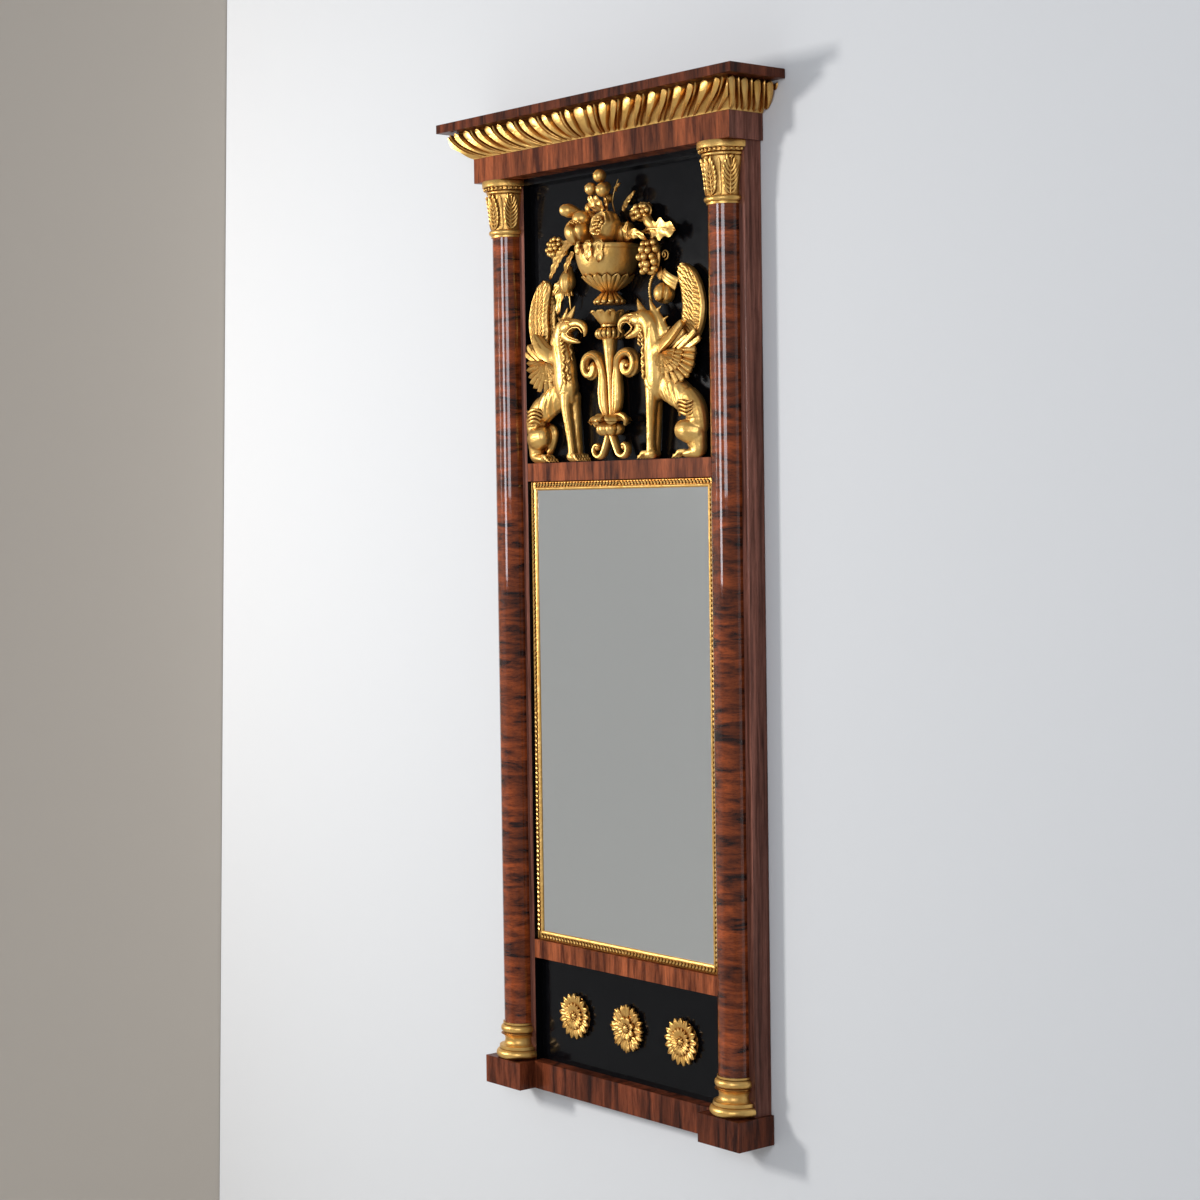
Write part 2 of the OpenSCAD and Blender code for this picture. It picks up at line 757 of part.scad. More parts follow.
module wing_plate(out, depth) {
    translate([0, out + depth, 0]) rotate([90, 0, 0]) linear_extrude(depth) children();
}

// The wing by the panel stands lower and closer to the neck
module wings() {
    color(gilt) griffin_place() {
        wing_plate(wing_out, wing_t) wing_outline();
        wing_plate(wing_inner_out, wing_out - wing_inner_out) intersection() {
            translate([-4, -18]) wing_outline();
            translate([wing_root_x + 12, wing_low]) square([100, 200]);
        }
    }
}

fan_feathers = 10;
fan = [142, 180];

// Coverts and flight feathers, fanned round the shoulder, below the sickles
module wing_root() {
    intersection() {
        union() {
            for (i = [0:fan_feathers])
                translate([fan[0], wing_out + 1.2 * (i % 2), fan[1]]) rotate([0, 12 * i - 18, 0])
                    feather(i == 0 ? 98 : 84 - 5 * max(i - 4, 0), 19, 14);
            wing_plate(wing_out, wing_t + 2)
                polygon([[116, 150], [120, wing_low], [227, wing_low], [200, 150], [150, 130]]);
        }
        block([0, 0, 0], [300, 100, wing_low]);
    }
}

// ------------------------------------------------------------ candelabrum

candelabrum_drawn_h = 266;
candelabrum_k = candelabrum_h / candelabrum_drawn_h;

module candelabrum_place() {
    on_panel() translate([0, carving_axis, 0]) scale([1, 1, 1] * candelabrum_k) children();
}

module turned(profile) {
    difference() {
        rotate_extrude() polygon(profile);
        block([-90, -90, -10], [90, -carving_axis / candelabrum_k, 400]);
    }
}

// Stations round a volute: centre, start and end angle, start and end radius
function volute(x, z, a0, a1, r0, r1, n, w0, w1) =
    [for (i = [0:n]) let (s = i / n, a = a0 + (a1 - a0) * s, r = r0 + (r1 - r0) * s)
        [x + r * cos(a), 0, z + r * sin(a), w0 + (w1 - w0) * s, 9 - 2 * s]];
// The same stations, moved out from the panel
function moved_out(path, out) = [for (p = path) [p[0], p[1] + out, p[2], p[3], p[4]]];

module candelabrum_feet() {
    out = carving_axis / candelabrum_k;
    path = concat([[5, 0, 48, 6, 9], [10, 0, 32, 6, 9]],
        volute(35, 23, 215, 490, 15, 5, 9, 5, 3.5));
    color(gilt) on_panel() scale(candelabrum_k) for (side = [0, 1]) mirror([side, 0, 0]) difference() {
        limb(moved_out(path, out));
        block([-90, -10, collar_low], [90, 90, collar_low + 40]);
        block([-90, -10, -10], [eps, 90, 90]);
    }
}

// The feet are glued under the collar, the stalks on it
collar_low = 44;
collar_high = 80;

module candelabrum_collar() {
    color(gilt) candelabrum_place() turned([[0, collar_low], [10, collar_low], [20, 48],
        [26, 56], [23, 63], [15, 67], [31, 70], [34, 75], [22, collar_high], [0, collar_high]]);
}

module candelabrum_stalks() {
    out = carving_axis / candelabrum_k;
    path = concat([[13, 0, 82, 7, 8], [18, 0, 100, 11, 12], [19, 0, 130, 11, 12], [19, 0, 155, 9, 10]],
        volute(49.5, 166, 170, -140, 27, 8, 10, 7.5, 5.5));
    color(gilt) on_panel() scale(candelabrum_k) for (side = [0, 1]) mirror([side, 0, 0]) difference() {
        limb(moved_out(path, out));
        block([-90, -10, collar_high - 40], [90, 90, collar_high]);
    }
}

module candelabrum_stem() {
    color(gilt) candelabrum_place() turned([[0, collar_high], [3, collar_high], [5, 145], [10, 185], [14, 216],
        [20, 217], [25, 221], [25, 226], [18, 232], [12, 233], [16, 235], [0, 235]]);
}

module candelabrum_cup() {
    color(gilt) candelabrum_place() turned([[0, 235], [14, 235], [16, 240], [21, 245], [29, 254],
        [32, candelabrum_drawn_h], [28, 265], [20, 256], [0, 254]]);
}

// ------------------------------------------------------- tazza and fruit

tazza_foot_r = 28;
tazza_neck_r = 12;

// Profile of the bowl on its foot, at heights over the foot
function tazza_profile() =
    let (rim = tazza_h, lip = 0.44 * tazza_h, neck = 0.22 * tazza_h)
    concat([[0, 0], [tazza_foot_r, 0], [tazza_foot_r, 2]],
        [for (i = [1:6]) let (s = i / 6) [tazza_foot_r + (tazza_neck_r - tazza_foot_r) * pow(s, 0.7),
            2 + (neck - 2) * pow(s, 1.3)]],
        [[tazza_r * 0.4, neck + 6], [tazza_r * 0.7, lip], [tazza_r * 0.66, lip + 1]],
        [for (i = [1:6]) let (s = i / 6) [tazza_r * (0.66 + 0.31 * sin(90 * s)),
            lip + (rim - 10 - lip) * s]],
        [[tazza_r, rim - 9], [tazza_r, rim - 1], [tazza_r - 3, rim], [tazza_r - 6, rim - 5], [0, rim - 5]]);

module tazza() {
    color(gilt) on_panel() difference() {
        translate([0, carving_axis, tazza_z]) rotate_extrude() polygon(tazza_profile());
        behind_panel();
    }
}

module grape_cluster(rows, across, r) {
    for (i = [0:rows - 1], j = [0:across - 1 - floor(i / 2)])
        translate([(j - (across - 1) / 2 + 0.5 * (i % 2)) * 1.62 * r, 0.5 * r * sin(100 * i + 70 * j),
            -i * 1.45 * r])
            sphere(r = r);
}

// Round and long fruit: [across, out of the axis, above the rim, radius]
fruit_list = [[-53, 36, 26, 20], [-32, 20, 24, 21], [6, 22, 27, 27], [22, -2, 16, 20], [-12, 0, 40, 25],
    [-64, 46, 66, 13.5], [-50, 30, 58, 14], [2, 12, 66, 16], [4, 26, 118, 12.5], [-18, 26, 96, 12],
    [11, 26, 95, 13.5], [2, 10, 92, 17]];

// The heap is drawn at one height, and fills what is left under the top rail
fruit_drawn_h = 130.5;
fruit_k = (upper_panel_h - fruit_gap - tazza_z - tazza_h) / fruit_drawn_h;

module fruit() {
    color(gilt) on_panel() difference() {
        translate([0, carving_axis, tazza_z + tazza_h]) scale(fruit_k) union() {
            for (f = fruit_list) translate([f[0], f[1], f[2]]) sphere(r = f[3]);
        }
        translate([0, carving_axis, tazza_z]) rotate_extrude() polygon(tazza_profile());
        behind_panel();
    }
}

module leaf(length, width, depth, lobes) {
    n = 6 * lobes;
    rotate([90, 0, 0]) translate([0, 0, -depth]) linear_extrude(depth)
        polygon([for (i = [0:2 * n - 1])
            let (s = i < n ? i / n : 2 - i / n, side = i < n ? 1 : -1,
                half = width / 2 * sin(180 * pow(s, 0.8)) * (0.82 + 0.18 * abs(sin(180 * lobes * s))))
            [s * length, side * (half + 0.6)]]);
}

module grapes_left() {
    color(gilt) on_panel() difference() {
        union() {
            translate([-134, 22, tazza_z + tazza_h + 14]) rotate([0, 60, 0]) grape_cluster(5, 4, 6.5);
            translate([-58, 0, tazza_z + tazza_h + 4]) rotate([0, 172, 0]) leaf(94, 34, 22, 4);
        }
        behind_panel();
        translate([0, carving_axis, tazza_z]) rotate_extrude() polygon(tazza_profile());
    }
}

module grapes_right() {
    color(gilt) on_panel() difference() {
        union() {
            translate([96, 22, tazza_z + tazza_h - 4]) rotate([0, -20, 0]) grape_cluster(6, 4, 7);
            translate([58, 0, tazza_z + tazza_h + 10]) rotate([0, -2, 0]) leaf(104, 44, 20, 5);
        }
        behind_panel();
        translate([0, carving_axis, tazza_z]) rotate_extrude() polygon(tazza_profile());
    }
}

// The upper right cluster lies on its own leaf
module grapes_upper() {
    color(gilt) on_panel() difference() {
        union() {
            translate([67, 20, tazza_z + tazza_h + 62]) rotate([0, -28, 0]) grape_cluster(4, 3, 6.5);
            translate([44, 0, tazza_z + tazza_h + 50]) rotate([0, -6, 0]) leaf(56, 26, 17, 3);
        }
        behind_panel();
    }
}

// The hanging fruit keeps its distance from the stile, as the wing beside it does
module garland_left() {
    color(gilt) on_panel() difference() {
        translate([garland_in - half_open, 0, tazza_z]) union() {
            translate([12, 14, 60]) sphere(r = 16);
            translate([12, 15, 47]) sphere(r = 17);
            translate([4, 0, 46]) rotate([0, 110, 0]) leaf(56, 28, 20, 3);
            translate([18, 0, 86]) rotate([0, 84, 0]) leaf(48, 16, 16, 2);
        }
        behind_panel();
    }
}

module garland_right() {
    color(gilt) on_panel() difference() {
        translate([half_open - garland_in, 0, tazza_z]) union() {
            translate([0, 15, 8]) sphere(r = 17);
            translate([-12, 0, 34]) rotate([0, 14, 0]) leaf(56, 26, 20, 3);
            translate([-13, 0, 42]) rotate([0, 76, 0]) leaf(40, 16, 16, 2);
        }
        behind_panel();
    }
}

// ------------------------------------------------------------------ nodes

left() plinth_block();  // plinth_block_left
plinth_block();  // plinth_block_right
base_rail();
left() stile();  // stile_left
stile();  // stile_right
lower_rail();
upper_rail();
top_rail();
frieze_front();
left() frieze_return();  // frieze_return_left
frieze_return();  // frieze_return_right
frieze_soffit();
frieze_back();
frieze_blocks();
gadroon_front();
left() gadroon_return();  // gadroon_return_left
gadroon_return();  // gadroon_return_right
cornice_board();
cornice_screws();
left() shaft();  // shaft_left
shaft();  // shaft_right
left() capital();  // capital_left
capital();  // capital_right
left() column_base();  // column_base_left
column_base();  // column_base_right
lower_panel();
upper_panel();
mirror_plate();
plate_wedges();
back_boards();
board_nails();
left() moulding_side();  // moulding_left
moulding_side();  // moulding_right
moulding_top();
moulding_bottom();
rosette(-rosette_pitch, rosette_r, petals);  // rosette_left
rosette(0, middle_rosette_r, 8);  // rosette_middle
rosette(rosette_pitch, rosette_r, petals);  // rosette_right
left() griffin();  // griffin_left
griffin();  // griffin_right
left() wings();  // wings_left
wings();  // wings_right
candelabrum_feet();
candelabrum_collar();
candelabrum_stalks();
candelabrum_stem();
candelabrum_cup();
tazza();
fruit();
grapes_left();
grapes_right();
grapes_upper();
garland_left();
garland_right();
left() hanging_plate();  // hanging_plate_left
hanging_plate();  // hanging_plate_right
plate_screws();
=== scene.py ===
import math
import random

import bmesh
import bpy
import numpy as np
from bpy.props import FloatProperty, FloatVectorProperty, IntProperty, PointerProperty
from mathutils import Matrix, Vector


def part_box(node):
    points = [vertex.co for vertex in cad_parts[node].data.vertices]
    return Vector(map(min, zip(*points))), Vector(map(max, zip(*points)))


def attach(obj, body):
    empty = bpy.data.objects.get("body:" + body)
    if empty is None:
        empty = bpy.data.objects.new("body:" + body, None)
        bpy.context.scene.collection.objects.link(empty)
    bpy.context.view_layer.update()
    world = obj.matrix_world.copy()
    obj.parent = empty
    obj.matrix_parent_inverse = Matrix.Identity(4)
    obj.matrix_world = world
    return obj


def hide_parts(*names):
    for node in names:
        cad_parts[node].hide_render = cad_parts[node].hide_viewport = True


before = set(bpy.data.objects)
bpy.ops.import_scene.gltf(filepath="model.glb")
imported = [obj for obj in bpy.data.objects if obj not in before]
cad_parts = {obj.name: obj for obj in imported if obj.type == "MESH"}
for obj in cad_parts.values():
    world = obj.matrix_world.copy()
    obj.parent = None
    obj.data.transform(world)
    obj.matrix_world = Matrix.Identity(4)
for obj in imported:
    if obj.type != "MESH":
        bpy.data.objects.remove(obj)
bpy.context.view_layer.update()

bl_info = {
    "name": "Pier Mirror",
    "version": (1, 0, 0),
    "blender": (4, 5, 0),
    "location": "View3D > Sidebar > Pier Mirror",
    "description": "Dresses the packed pier mirror: veneer, ebonised panels, aged plate and gilt carving",
    "category": "Object",
}


def millimetres(corner):
    return Vector(corner) * 1000


def middle(name):
    low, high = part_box(name)
    return millimetres((low + high) / 2)


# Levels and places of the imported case, in millimetres
PANEL_Y = -millimetres(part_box("upper_panel")[0]).y
RAIL_Z = millimetres(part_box("upper_rail")[1]).z
HALF_OPEN = millimetres(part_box("moulding_bottom")[1]).x
MIRROR_LOW = millimetres(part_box("moulding_bottom")[0]).z
MIRROR_HIGH = millimetres(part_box("moulding_top")[1]).z
PLATE_Y = -millimetres(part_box("mirror_plate")[0]).y
HALF_FRIEZE = millimetres(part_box("frieze_front")[1]).x
FRIEZE_D = -millimetres(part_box("frieze_front")[0]).y
COLUMN_X = middle("shaft_right").x
COLUMN_Y = -millimetres(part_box("shaft_right")[1]).y
SHAFT_R = -millimetres(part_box("shaft_right")[0]).y - COLUMN_Y
BASE_Z = millimetres(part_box("column_base_right")[0]).z
CAPITAL_Z = millimetres(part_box("capital_right")[0]).z
GADROON_Z = millimetres(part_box("gadroon_front")[0]).z
GADROON_H = millimetres(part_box("gadroon_front")[1]).z - GADROON_Z
GADROON_OUT = -millimetres(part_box("gadroon_front")[0]).y - FRIEZE_D
ROSETTE_Z = middle("rosette_middle").z
ROSETTE_X = middle("rosette_right").x

# How far the black colour runs past the corner of the opening, in millimetres
BLACK_SPILL = 0.5

# Carved work is drawn as [across, out from the panel, up from the rail]
CARVING = Matrix.Translation((0, -PANEL_Y, RAIL_Z)) @ Matrix.Diagonal((1, -1, 1, 1))
FLIP = Matrix.Diagonal((-1, 1, 1, 1))
OUT = Vector((0, 1, 0))
BEASTS = (("right", CARVING), ("left", CARVING @ FLIP))

SIDES = (("left", -1), ("right", 1))


# ---------------------------------------------------------------- finishes

def linear(hex_colour):
    """Turns an sRGB hex colour to linear red, green, blue and alpha."""
    parts = [int(hex_colour[i:i + 2], 16) / 255 for i in (1, 3, 5)]
    return tuple(c / 12.92 if c <= 0.04045 else ((c + 0.055) / 1.055) ** 2.4 for c in parts) + (1.0,)


def node(tree, kind, settings=None, inputs=None, stops=None):
    """Adds a node with its settings, values or links, and the stops of a colour ramp."""
    made = tree.nodes.new(kind)
    for key, value in (settings or {}).items():
        setattr(made, key, value)
    for key, value in (inputs or {}).items():
        if isinstance(value, bpy.types.NodeSocket):
            tree.links.new(value, made.inputs[key])
        else:
            made.inputs[key].default_value = value
    for i, (place, colour) in enumerate(stops or []):
        stop = made.color_ramp.elements[i] if i < 2 else made.color_ramp.elements.new(place)
        stop.position, stop.color = place, colour
    return made


# Sockets of a Mix node that mixes colours, several of which share a name
SHARE, FIRST, SECOND, MIXED = 0, 6, 7, 2


def grain(feature_mm):
    """Texture scale for a feature of that many millimetres, on coordinates in metres."""
    return 1000 / feature_mm


def new_material(name):
    material = bpy.data.materials.new(name)
    material.use_nodes = True
    tree = material.node_tree
    return material, tree, tree.nodes["Principled BSDF"]


def grey(value):
    return (value, value, value, 1)


def water_gilding(colours):
    # Gold leaf on red bole and gesso: a soft metal sheen broken by the hand-cut
    # ground, warm toner and painted shade darkening the hollows, and bole in small rubbed places
    material, tree, shader = new_material("water_gilding")
    place = node(tree, "ShaderNodeTexCoord").outputs["Object"]
    cloud = node(tree, "ShaderNodeTexNoise", inputs={"Vector": place, "Scale": grain(22), "Detail": 4})
    leaf = node(tree, "ShaderNodeMix", {"data_type": "RGBA"},
                {SHARE: cloud.outputs["Fac"], FIRST: (*colours.gold_deep, 1), SECOND: (*colours.gold, 1)})
    # painted shade: the ambient-occlusion mask darkens the leaf toward the toner colour in hollows and creases,
    # both as toner and as the shade that falls there
    hollow = node(tree, "ShaderNodeAmbientOcclusion", {"samples": 4}, {"Distance": 0.013})
    deep = node(tree, "ShaderNodeValToRGB", inputs={"Fac": hollow.outputs["AO"]},
                stops=[(0.3, grey(1)), (0.85, grey(0))])
    toned_and_shaded = node(tree, "ShaderNodeMix", {"data_type": "RGBA"},
                 {SHARE: deep.outputs["Color"], FIRST: leaf.outputs[MIXED], SECOND: (*colours.toner, 1)})
    speck = node(tree, "ShaderNodeTexNoise", inputs={"Vector": place, "Scale": grain(3.2), "Detail": 6,
                                                     "Roughness": 0.65})
    rubbed = node(tree, "ShaderNodeValToRGB", inputs={"Fac": speck.outputs["Fac"]},
                  stops=[(0.64, grey(0)), (0.72, grey(0.75))])
    worn = node(tree, "ShaderNodeMix", {"data_type": "RGBA"},
                {SHARE: rubbed.outputs["Color"], FIRST: toned_and_shaded.outputs[MIXED], SECOND: (*colours.bole, 1)})
    metal = node(tree, "ShaderNodeMapRange",
                 inputs={"Value": rubbed.outputs["Color"], "To Min": 0.92, "To Max": 0.5})
    rough = node(tree, "ShaderNodeMapRange",
                 inputs={"Value": speck.outputs["Fac"], "To Min": 0.3, "To Max": 0.5})
    hand = node(tree, "ShaderNodeTexNoise", inputs={"Vector": place, "Scale": grain(9), "Detail": 2})
    carved = node(tree, "ShaderNodeBump", inputs={"Strength": 0.5, "Distance": 0.0016,
                                                  "Height": hand.outputs["Fac"]})
    dents = node(tree, "ShaderNodeBump", inputs={"Strength": 0.3, "Distance": 0.0006,
                                                 "Height": speck.outputs["Fac"], "Normal": carved.outputs[0]})
    tree.links.new(worn.outputs[MIXED], shader.inputs["Base Color"])
    tree.links.new(metal.outputs[0], shader.inputs["Metallic"])
    tree.links.new(rough.outputs[0], shader.inputs["Roughness"])
    tree.links.new(dents.outputs[0], shader.inputs["Normal"])
    return material


def mahogany(name, stretch, band, light, dark, polish=0.28):
    # Sawn mahogany veneer under French polish: long streaks along the grain, fine
    # pores, and a clear hard gloss over both. stretch is the texture's squeeze on
    # each axis, smallest along the grain; band is the width of a streak in mm, and
    # polish is the weight of the gloss
    material, tree, shader = new_material(name)
    place = node(tree, "ShaderNodeTexCoord").outputs["Object"]
    along = node(tree, "ShaderNodeMapping", inputs={"Vector": place, "Scale": stretch}).outputs[0]
    streak = node(tree, "ShaderNodeTexNoise", inputs={"Vector": along, "Scale": grain(band), "Detail": 7,
                                                      "Roughness": 0.62, "Distortion": 0.5})
    pores = node(tree, "ShaderNodeTexNoise", inputs={"Vector": along, "Scale": grain(band / 9), "Detail": 3,
                                                     "Roughness": 0.7})
    wood = node(tree, "ShaderNodeValToRGB", inputs={"Fac": streak.outputs["Fac"]},
                stops=[(0.36, (*dark, 1)), (0.64, (*light, 1)),
                       (0.5, tuple(0.5 * a + 0.5 * b for a, b in zip(dark, light)) + (1,))])
    thin = node(tree, "ShaderNodeValToRGB", inputs={"Fac": pores.outputs["Fac"]},
                stops=[(0.36, grey(0.62)), (0.52, grey(1))])
    leaves = node(tree, "ShaderNodeTexNoise", inputs={"Vector": along, "Scale": grain(band * 4), "Detail": 1})
    matched = node(tree, "ShaderNodeValToRGB", inputs={"Fac": leaves.outputs["Fac"]},
                   stops=[(0.38, grey(0.62)), (0.6, grey(1))])
    piece = node(tree, "ShaderNodeMix", {"data_type": "RGBA", "blend_type": "MULTIPLY"},
                 {SHARE: 1.0, FIRST: wood.outputs[0], SECOND: matched.outputs[0]})
    body = node(tree, "ShaderNodeMix", {"data_type": "RGBA", "blend_type": "MULTIPLY"},
                {SHARE: 1.0, FIRST: piece.outputs[MIXED], SECOND: thin.outputs[0]})
    wave = node(tree, "ShaderNodeTexNoise", inputs={"Vector": place, "Scale": grain(45), "Detail": 2})
    film = node(tree, "ShaderNodeBump", inputs={"Strength": 0.12, "Distance": 0.002,
                                                "Height": wave.outputs["Fac"]})
    rough = node(tree, "ShaderNodeMapRange",
                 inputs={"Value": pores.outputs["Fac"], "To Min": 0.36, "To Max": 0.5})
    tree.links.new(body.outputs[MIXED], shader.inputs["Base Color"])
    tree.links.new(rough.outputs[0], shader.inputs["Roughness"])
    tree.links.new(film.outputs[0], shader.inputs["Coat Normal"])
    shader.inputs["Specular IOR Level"].default_value = 0.03
    shader.inputs["Coat Weight"].default_value = polish
    shader.inputs["Coat Roughness"].default_value = 0.05
    return material


def cross_banded_veneer(colours):
    # Narrow upright pieces of veneer side by side on the rails, frieze and plinth
    return mahogany("cross_banded_veneer", (1, 1, 0.1), 18, colours.veneer_light, colours.veneer_dark)


def flame_veneer(colours):
    # Crotch veneer wrapped round the columns, with its figure across the shaft, and
    # the thickest polish of the whole case, which throws a white line down each column
    return mahogany("flame_veneer", (0.22, 0.22, 1), 17, colours.flame_light, colours.flame_dark, polish=1.0)


def side_veneer(colours):
    # Plain straight-grained mahogany on the case sides. The edges that face the
    # panels are coloured black like them, and a little round the corner
    material = mahogany("side_veneer", (1, 1, 0.04), 9, colours.side_light, colours.side_dark)
    tree = material.node_tree
    base = tree.nodes["Principled BSDF"].inputs["Base Color"]
    place = node(tree, "ShaderNodeTexCoord").outputs["Object"]
    across = node(tree, "ShaderNodeSeparateXYZ", inputs={0: place}).outputs["X"]
    reach = node(tree, "ShaderNodeMath", {"operation": "ABSOLUTE"}, {0: across}).outputs[0]
    inner = node(tree, "ShaderNodeMath", {"operation": "LESS_THAN"},
                 {0: reach, 1: (HALF_OPEN + BLACK_SPILL) / 1000})
    blackened = node(tree, "ShaderNodeMix", {"data_type": "RGBA"},
                   {SHARE: inner.outputs[0], FIRST: base.links[0].from_socket, SECOND: (*colours.ebony, 1)})
    tree.links.new(blackened.outputs[MIXED], base)
    return material


def deep_veneer(colours):
    # Darker, redder colours of the same veneer on the cornice board and the base
    return mahogany("deep_veneer", (1, 1, 0.1), 18, colours.deep_light, colours.deep_dark)


def ebonised_polish(colours):
    # Pearwood stained black under polish: almost black, glossy, a little wavy
    material, tree, shader = new_material("ebonised_polish")
    place = node(tree, "ShaderNodeTexCoord").outputs["Object"]
    wave = node(tree, "ShaderNodeTexNoise", inputs={"Vector": place, "Scale": grain(60), "Detail": 2})
    haze = node(tree, "ShaderNodeTexNoise", inputs={"Vector": place, "Scale": grain(14), "Detail": 5})
    tone = node(tree, "ShaderNodeValToRGB", inputs={"Fac": haze.outputs["Fac"]},
                stops=[(0.35, (*colours.ebony, 1)), (0.75, tuple(1.5 * c for c in colours.ebony) + (1,))])
    film = node(tree, "ShaderNodeBump", inputs={"Strength": 0.05, "Distance": 0.002,
                                                "Height": wave.outputs["Fac"]})
    rough = node(tree, "ShaderNodeMapRange",
                 inputs={"Value": haze.outputs["Fac"], "To Min": 0.08, "To Max": 0.14})
    tree.links.new(tone.outputs[0], shader.inputs["Base Color"])
    tree.links.new(rough.outputs[0], shader.inputs["Roughness"])
    tree.links.new(film.outputs[0], shader.inputs["Normal"])
    shader.inputs["Specular IOR Level"].default_value = 0.14
    return material


def silvered_plate(colours):
    # Old tin-amalgam plate: a grey mirror, faintly clouded, with fine dark foxing
    material, tree, shader = new_material("silvered_plate")
    place = node(tree, "ShaderNodeTexCoord").outputs["Object"]
    cloud = node(tree, "ShaderNodeTexNoise", inputs={"Vector": place, "Scale": grain(90), "Detail": 5})
    spot = node(tree, "ShaderNodeTexNoise", inputs={"Vector": place, "Scale": grain(4), "Detail": 6,
                                                    "Roughness": 0.7})
    fox = node(tree, "ShaderNodeValToRGB", inputs={"Fac": spot.outputs["Fac"]},
               stops=[(0.68, grey(0)), (0.74, grey(0.5))])
    silver = node(tree, "ShaderNodeMix", {"data_type": "RGBA"},
                  {SHARE: fox.outputs[0], FIRST: (*colours.silver, 1), SECOND: (*colours.foxing, 1)})
    rough = node(tree, "ShaderNodeMapRange",
                 inputs={"Value": cloud.outputs["Fac"], "To Min": 0.03, "To Max": 0.06})
    tree.links.new(silver.outputs[MIXED], shader.inputs["Base Color"])
    tree.links.new(rough.outputs[0], shader.inputs["Roughness"])
    shader.inputs["Metallic"].default_value = 1.0
    return material


def bare_pine(colours):
    # Unfinished softwood behind the case: pale, matt, with darker growth lines
    material, tree, shader = new_material("bare_pine")
    place = node(tree, "ShaderNodeTexCoord").outputs["Object"]
    along = node(tree, "ShaderNodeMapping", inputs={"Vector": place, "Scale": (0.06, 1, 1)}).outputs[0]
    ring = node(tree, "ShaderNodeTexNoise", inputs={"Vector": along, "Scale": grain(7), "Detail": 5})
    wood = node(tree, "ShaderNodeValToRGB", inputs={"Fac": ring.outputs["Fac"]},
                stops=[(0.35, (*colours.pine_dark, 1)), (0.65, (*colours.pine, 1))])
    furry = node(tree, "ShaderNodeBump", inputs={"Strength": 0.3, "Distance": 0.0005,
                                                 "Height": ring.outputs["Fac"]})
    tree.links.new(wood.outputs[0], shader.inputs["Base Color"])
    tree.links.new(furry.outputs[0], shader.inputs["Normal"])
    shader.inputs["Roughness"].default_value = 0.8
    return material


def dull_metal(name, colour, patch):
    # Small hidden fittings: filed metal gone dull, with patches of tarnish
    material, tree, shader = new_material(name)
    place = node(tree, "ShaderNodeTexCoord").outputs["Object"]
    stain = node(tree, "ShaderNodeTexNoise", inputs={"Vector": place, "Scale": grain(patch), "Detail": 5})
    tone = node(tree, "ShaderNodeValToRGB", inputs={"Fac": stain.outputs["Fac"]},
                stops=[(0.35, tuple(0.55 * c for c in colour) + (1,)), (0.65, (*colour, 1))])
    rough = node(tree, "ShaderNodeMapRange",
                 inputs={"Value": stain.outputs["Fac"], "To Min": 0.5, "To Max": 0.34})
    tree.links.new(tone.outputs[0], shader.inputs["Base Color"])
    tree.links.new(rough.outputs[0], shader.inputs["Roughness"])
    shader.inputs["Metallic"].default_value = 1.0
    return material


def dull_brass(colours):
    return dull_metal("dull_brass", colours.brass, 9)


def plain_steel(colours):
    return dull_metal("plain_steel", colours.steel, 5)


def finish(make):
    """The material that make builds under its own name, built once."""
    return bpy.data.materials.get(make.__name__) or make(bpy.context.scene.pier_mirror_finishes)


# ------------------------------------------------------------------- shapes

def new_piece(bm, name, material, nodes=(), place=None, sharp=35):
    """Turns a mesh in millimetres into a finished piece at the origin."""
    matrix = Matrix.Scale(0.001, 4) @ (place or Matrix.Identity(4))
    bmesh.ops.transform(bm, matrix=matrix, verts=bm.verts)
    bmesh.ops.recalc_face_normals(bm, faces=bm.faces)
    mesh = bpy.data.meshes.new(name)
    bm.to_mesh(mesh)
    bm.free()
    mesh.polygons.foreach_set("use_smooth", [True] * len(mesh.polygons))
    mesh.set_sharp_from_angle(angle=math.radians(sharp))
    mesh.materials.append(material)
    piece = bpy.data.objects.new(name, mesh)
    bpy.context.scene.collection.objects.link(piece)
    if nodes:
        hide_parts(*nodes)
    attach(piece, "root")


def gild(bm, name, node_name, place=None, sharp=35):
    """Gilds carved or turned work, and leaves it as one finished piece."""
    new_piece(bm, name, finish(water_gilding), [node_name], place, sharp)


def loft(bm, rings):
    """A closed skin through rings of equally many points, capped at both ends."""
    count = len(rings[0])
    tube = bmesh.new()
    bmesh.ops.create_circle(tube, cap_ends=False, segments=count, radius=1)
    bmesh.ops.spin(tube, geom=[*tube.verts, *tube.edges], cent=(0, 0, 0), axis=(0, 0, 1), dvec=(0, 0, 1),
                   angle=0, steps=len(rings) - 1)
    for vert in tube.verts:
        # each ring lies one unit above the last, so height and angle say which point it is
        turn = math.atan2(vert.co.y, vert.co.x) / (2 * math.pi)
        vert.co = rings[round(vert.co.z)][round(turn * count) % count]
    close_holes(tube)
    mesh = bpy.data.meshes.new("skin")
    tube.to_mesh(mesh)
    tube.free()
    bm.from_mesh(mesh)
    bpy.data.meshes.remove(mesh)


def smooth_path(path, steps):
    """Puts steps stations between each two, on a curve through them."""
    points = np.array([path[0], *path, path[-1]], float)
    made = []
    for i in range(len(path) - 1):
        p0, p1, p2, p3 = points[i:i + 4]
        for s in np.arange(steps) / steps:
            made.append(0.5 * (2 * p1 + (p2 - p0) * s + (2 * p0 - 5 * p1 + 4 * p2 - p3) * s ** 2
                               + (3 * p1 - p0 - 3 * p2 + p3) * s ** 3))
    return made + [points[-1]]


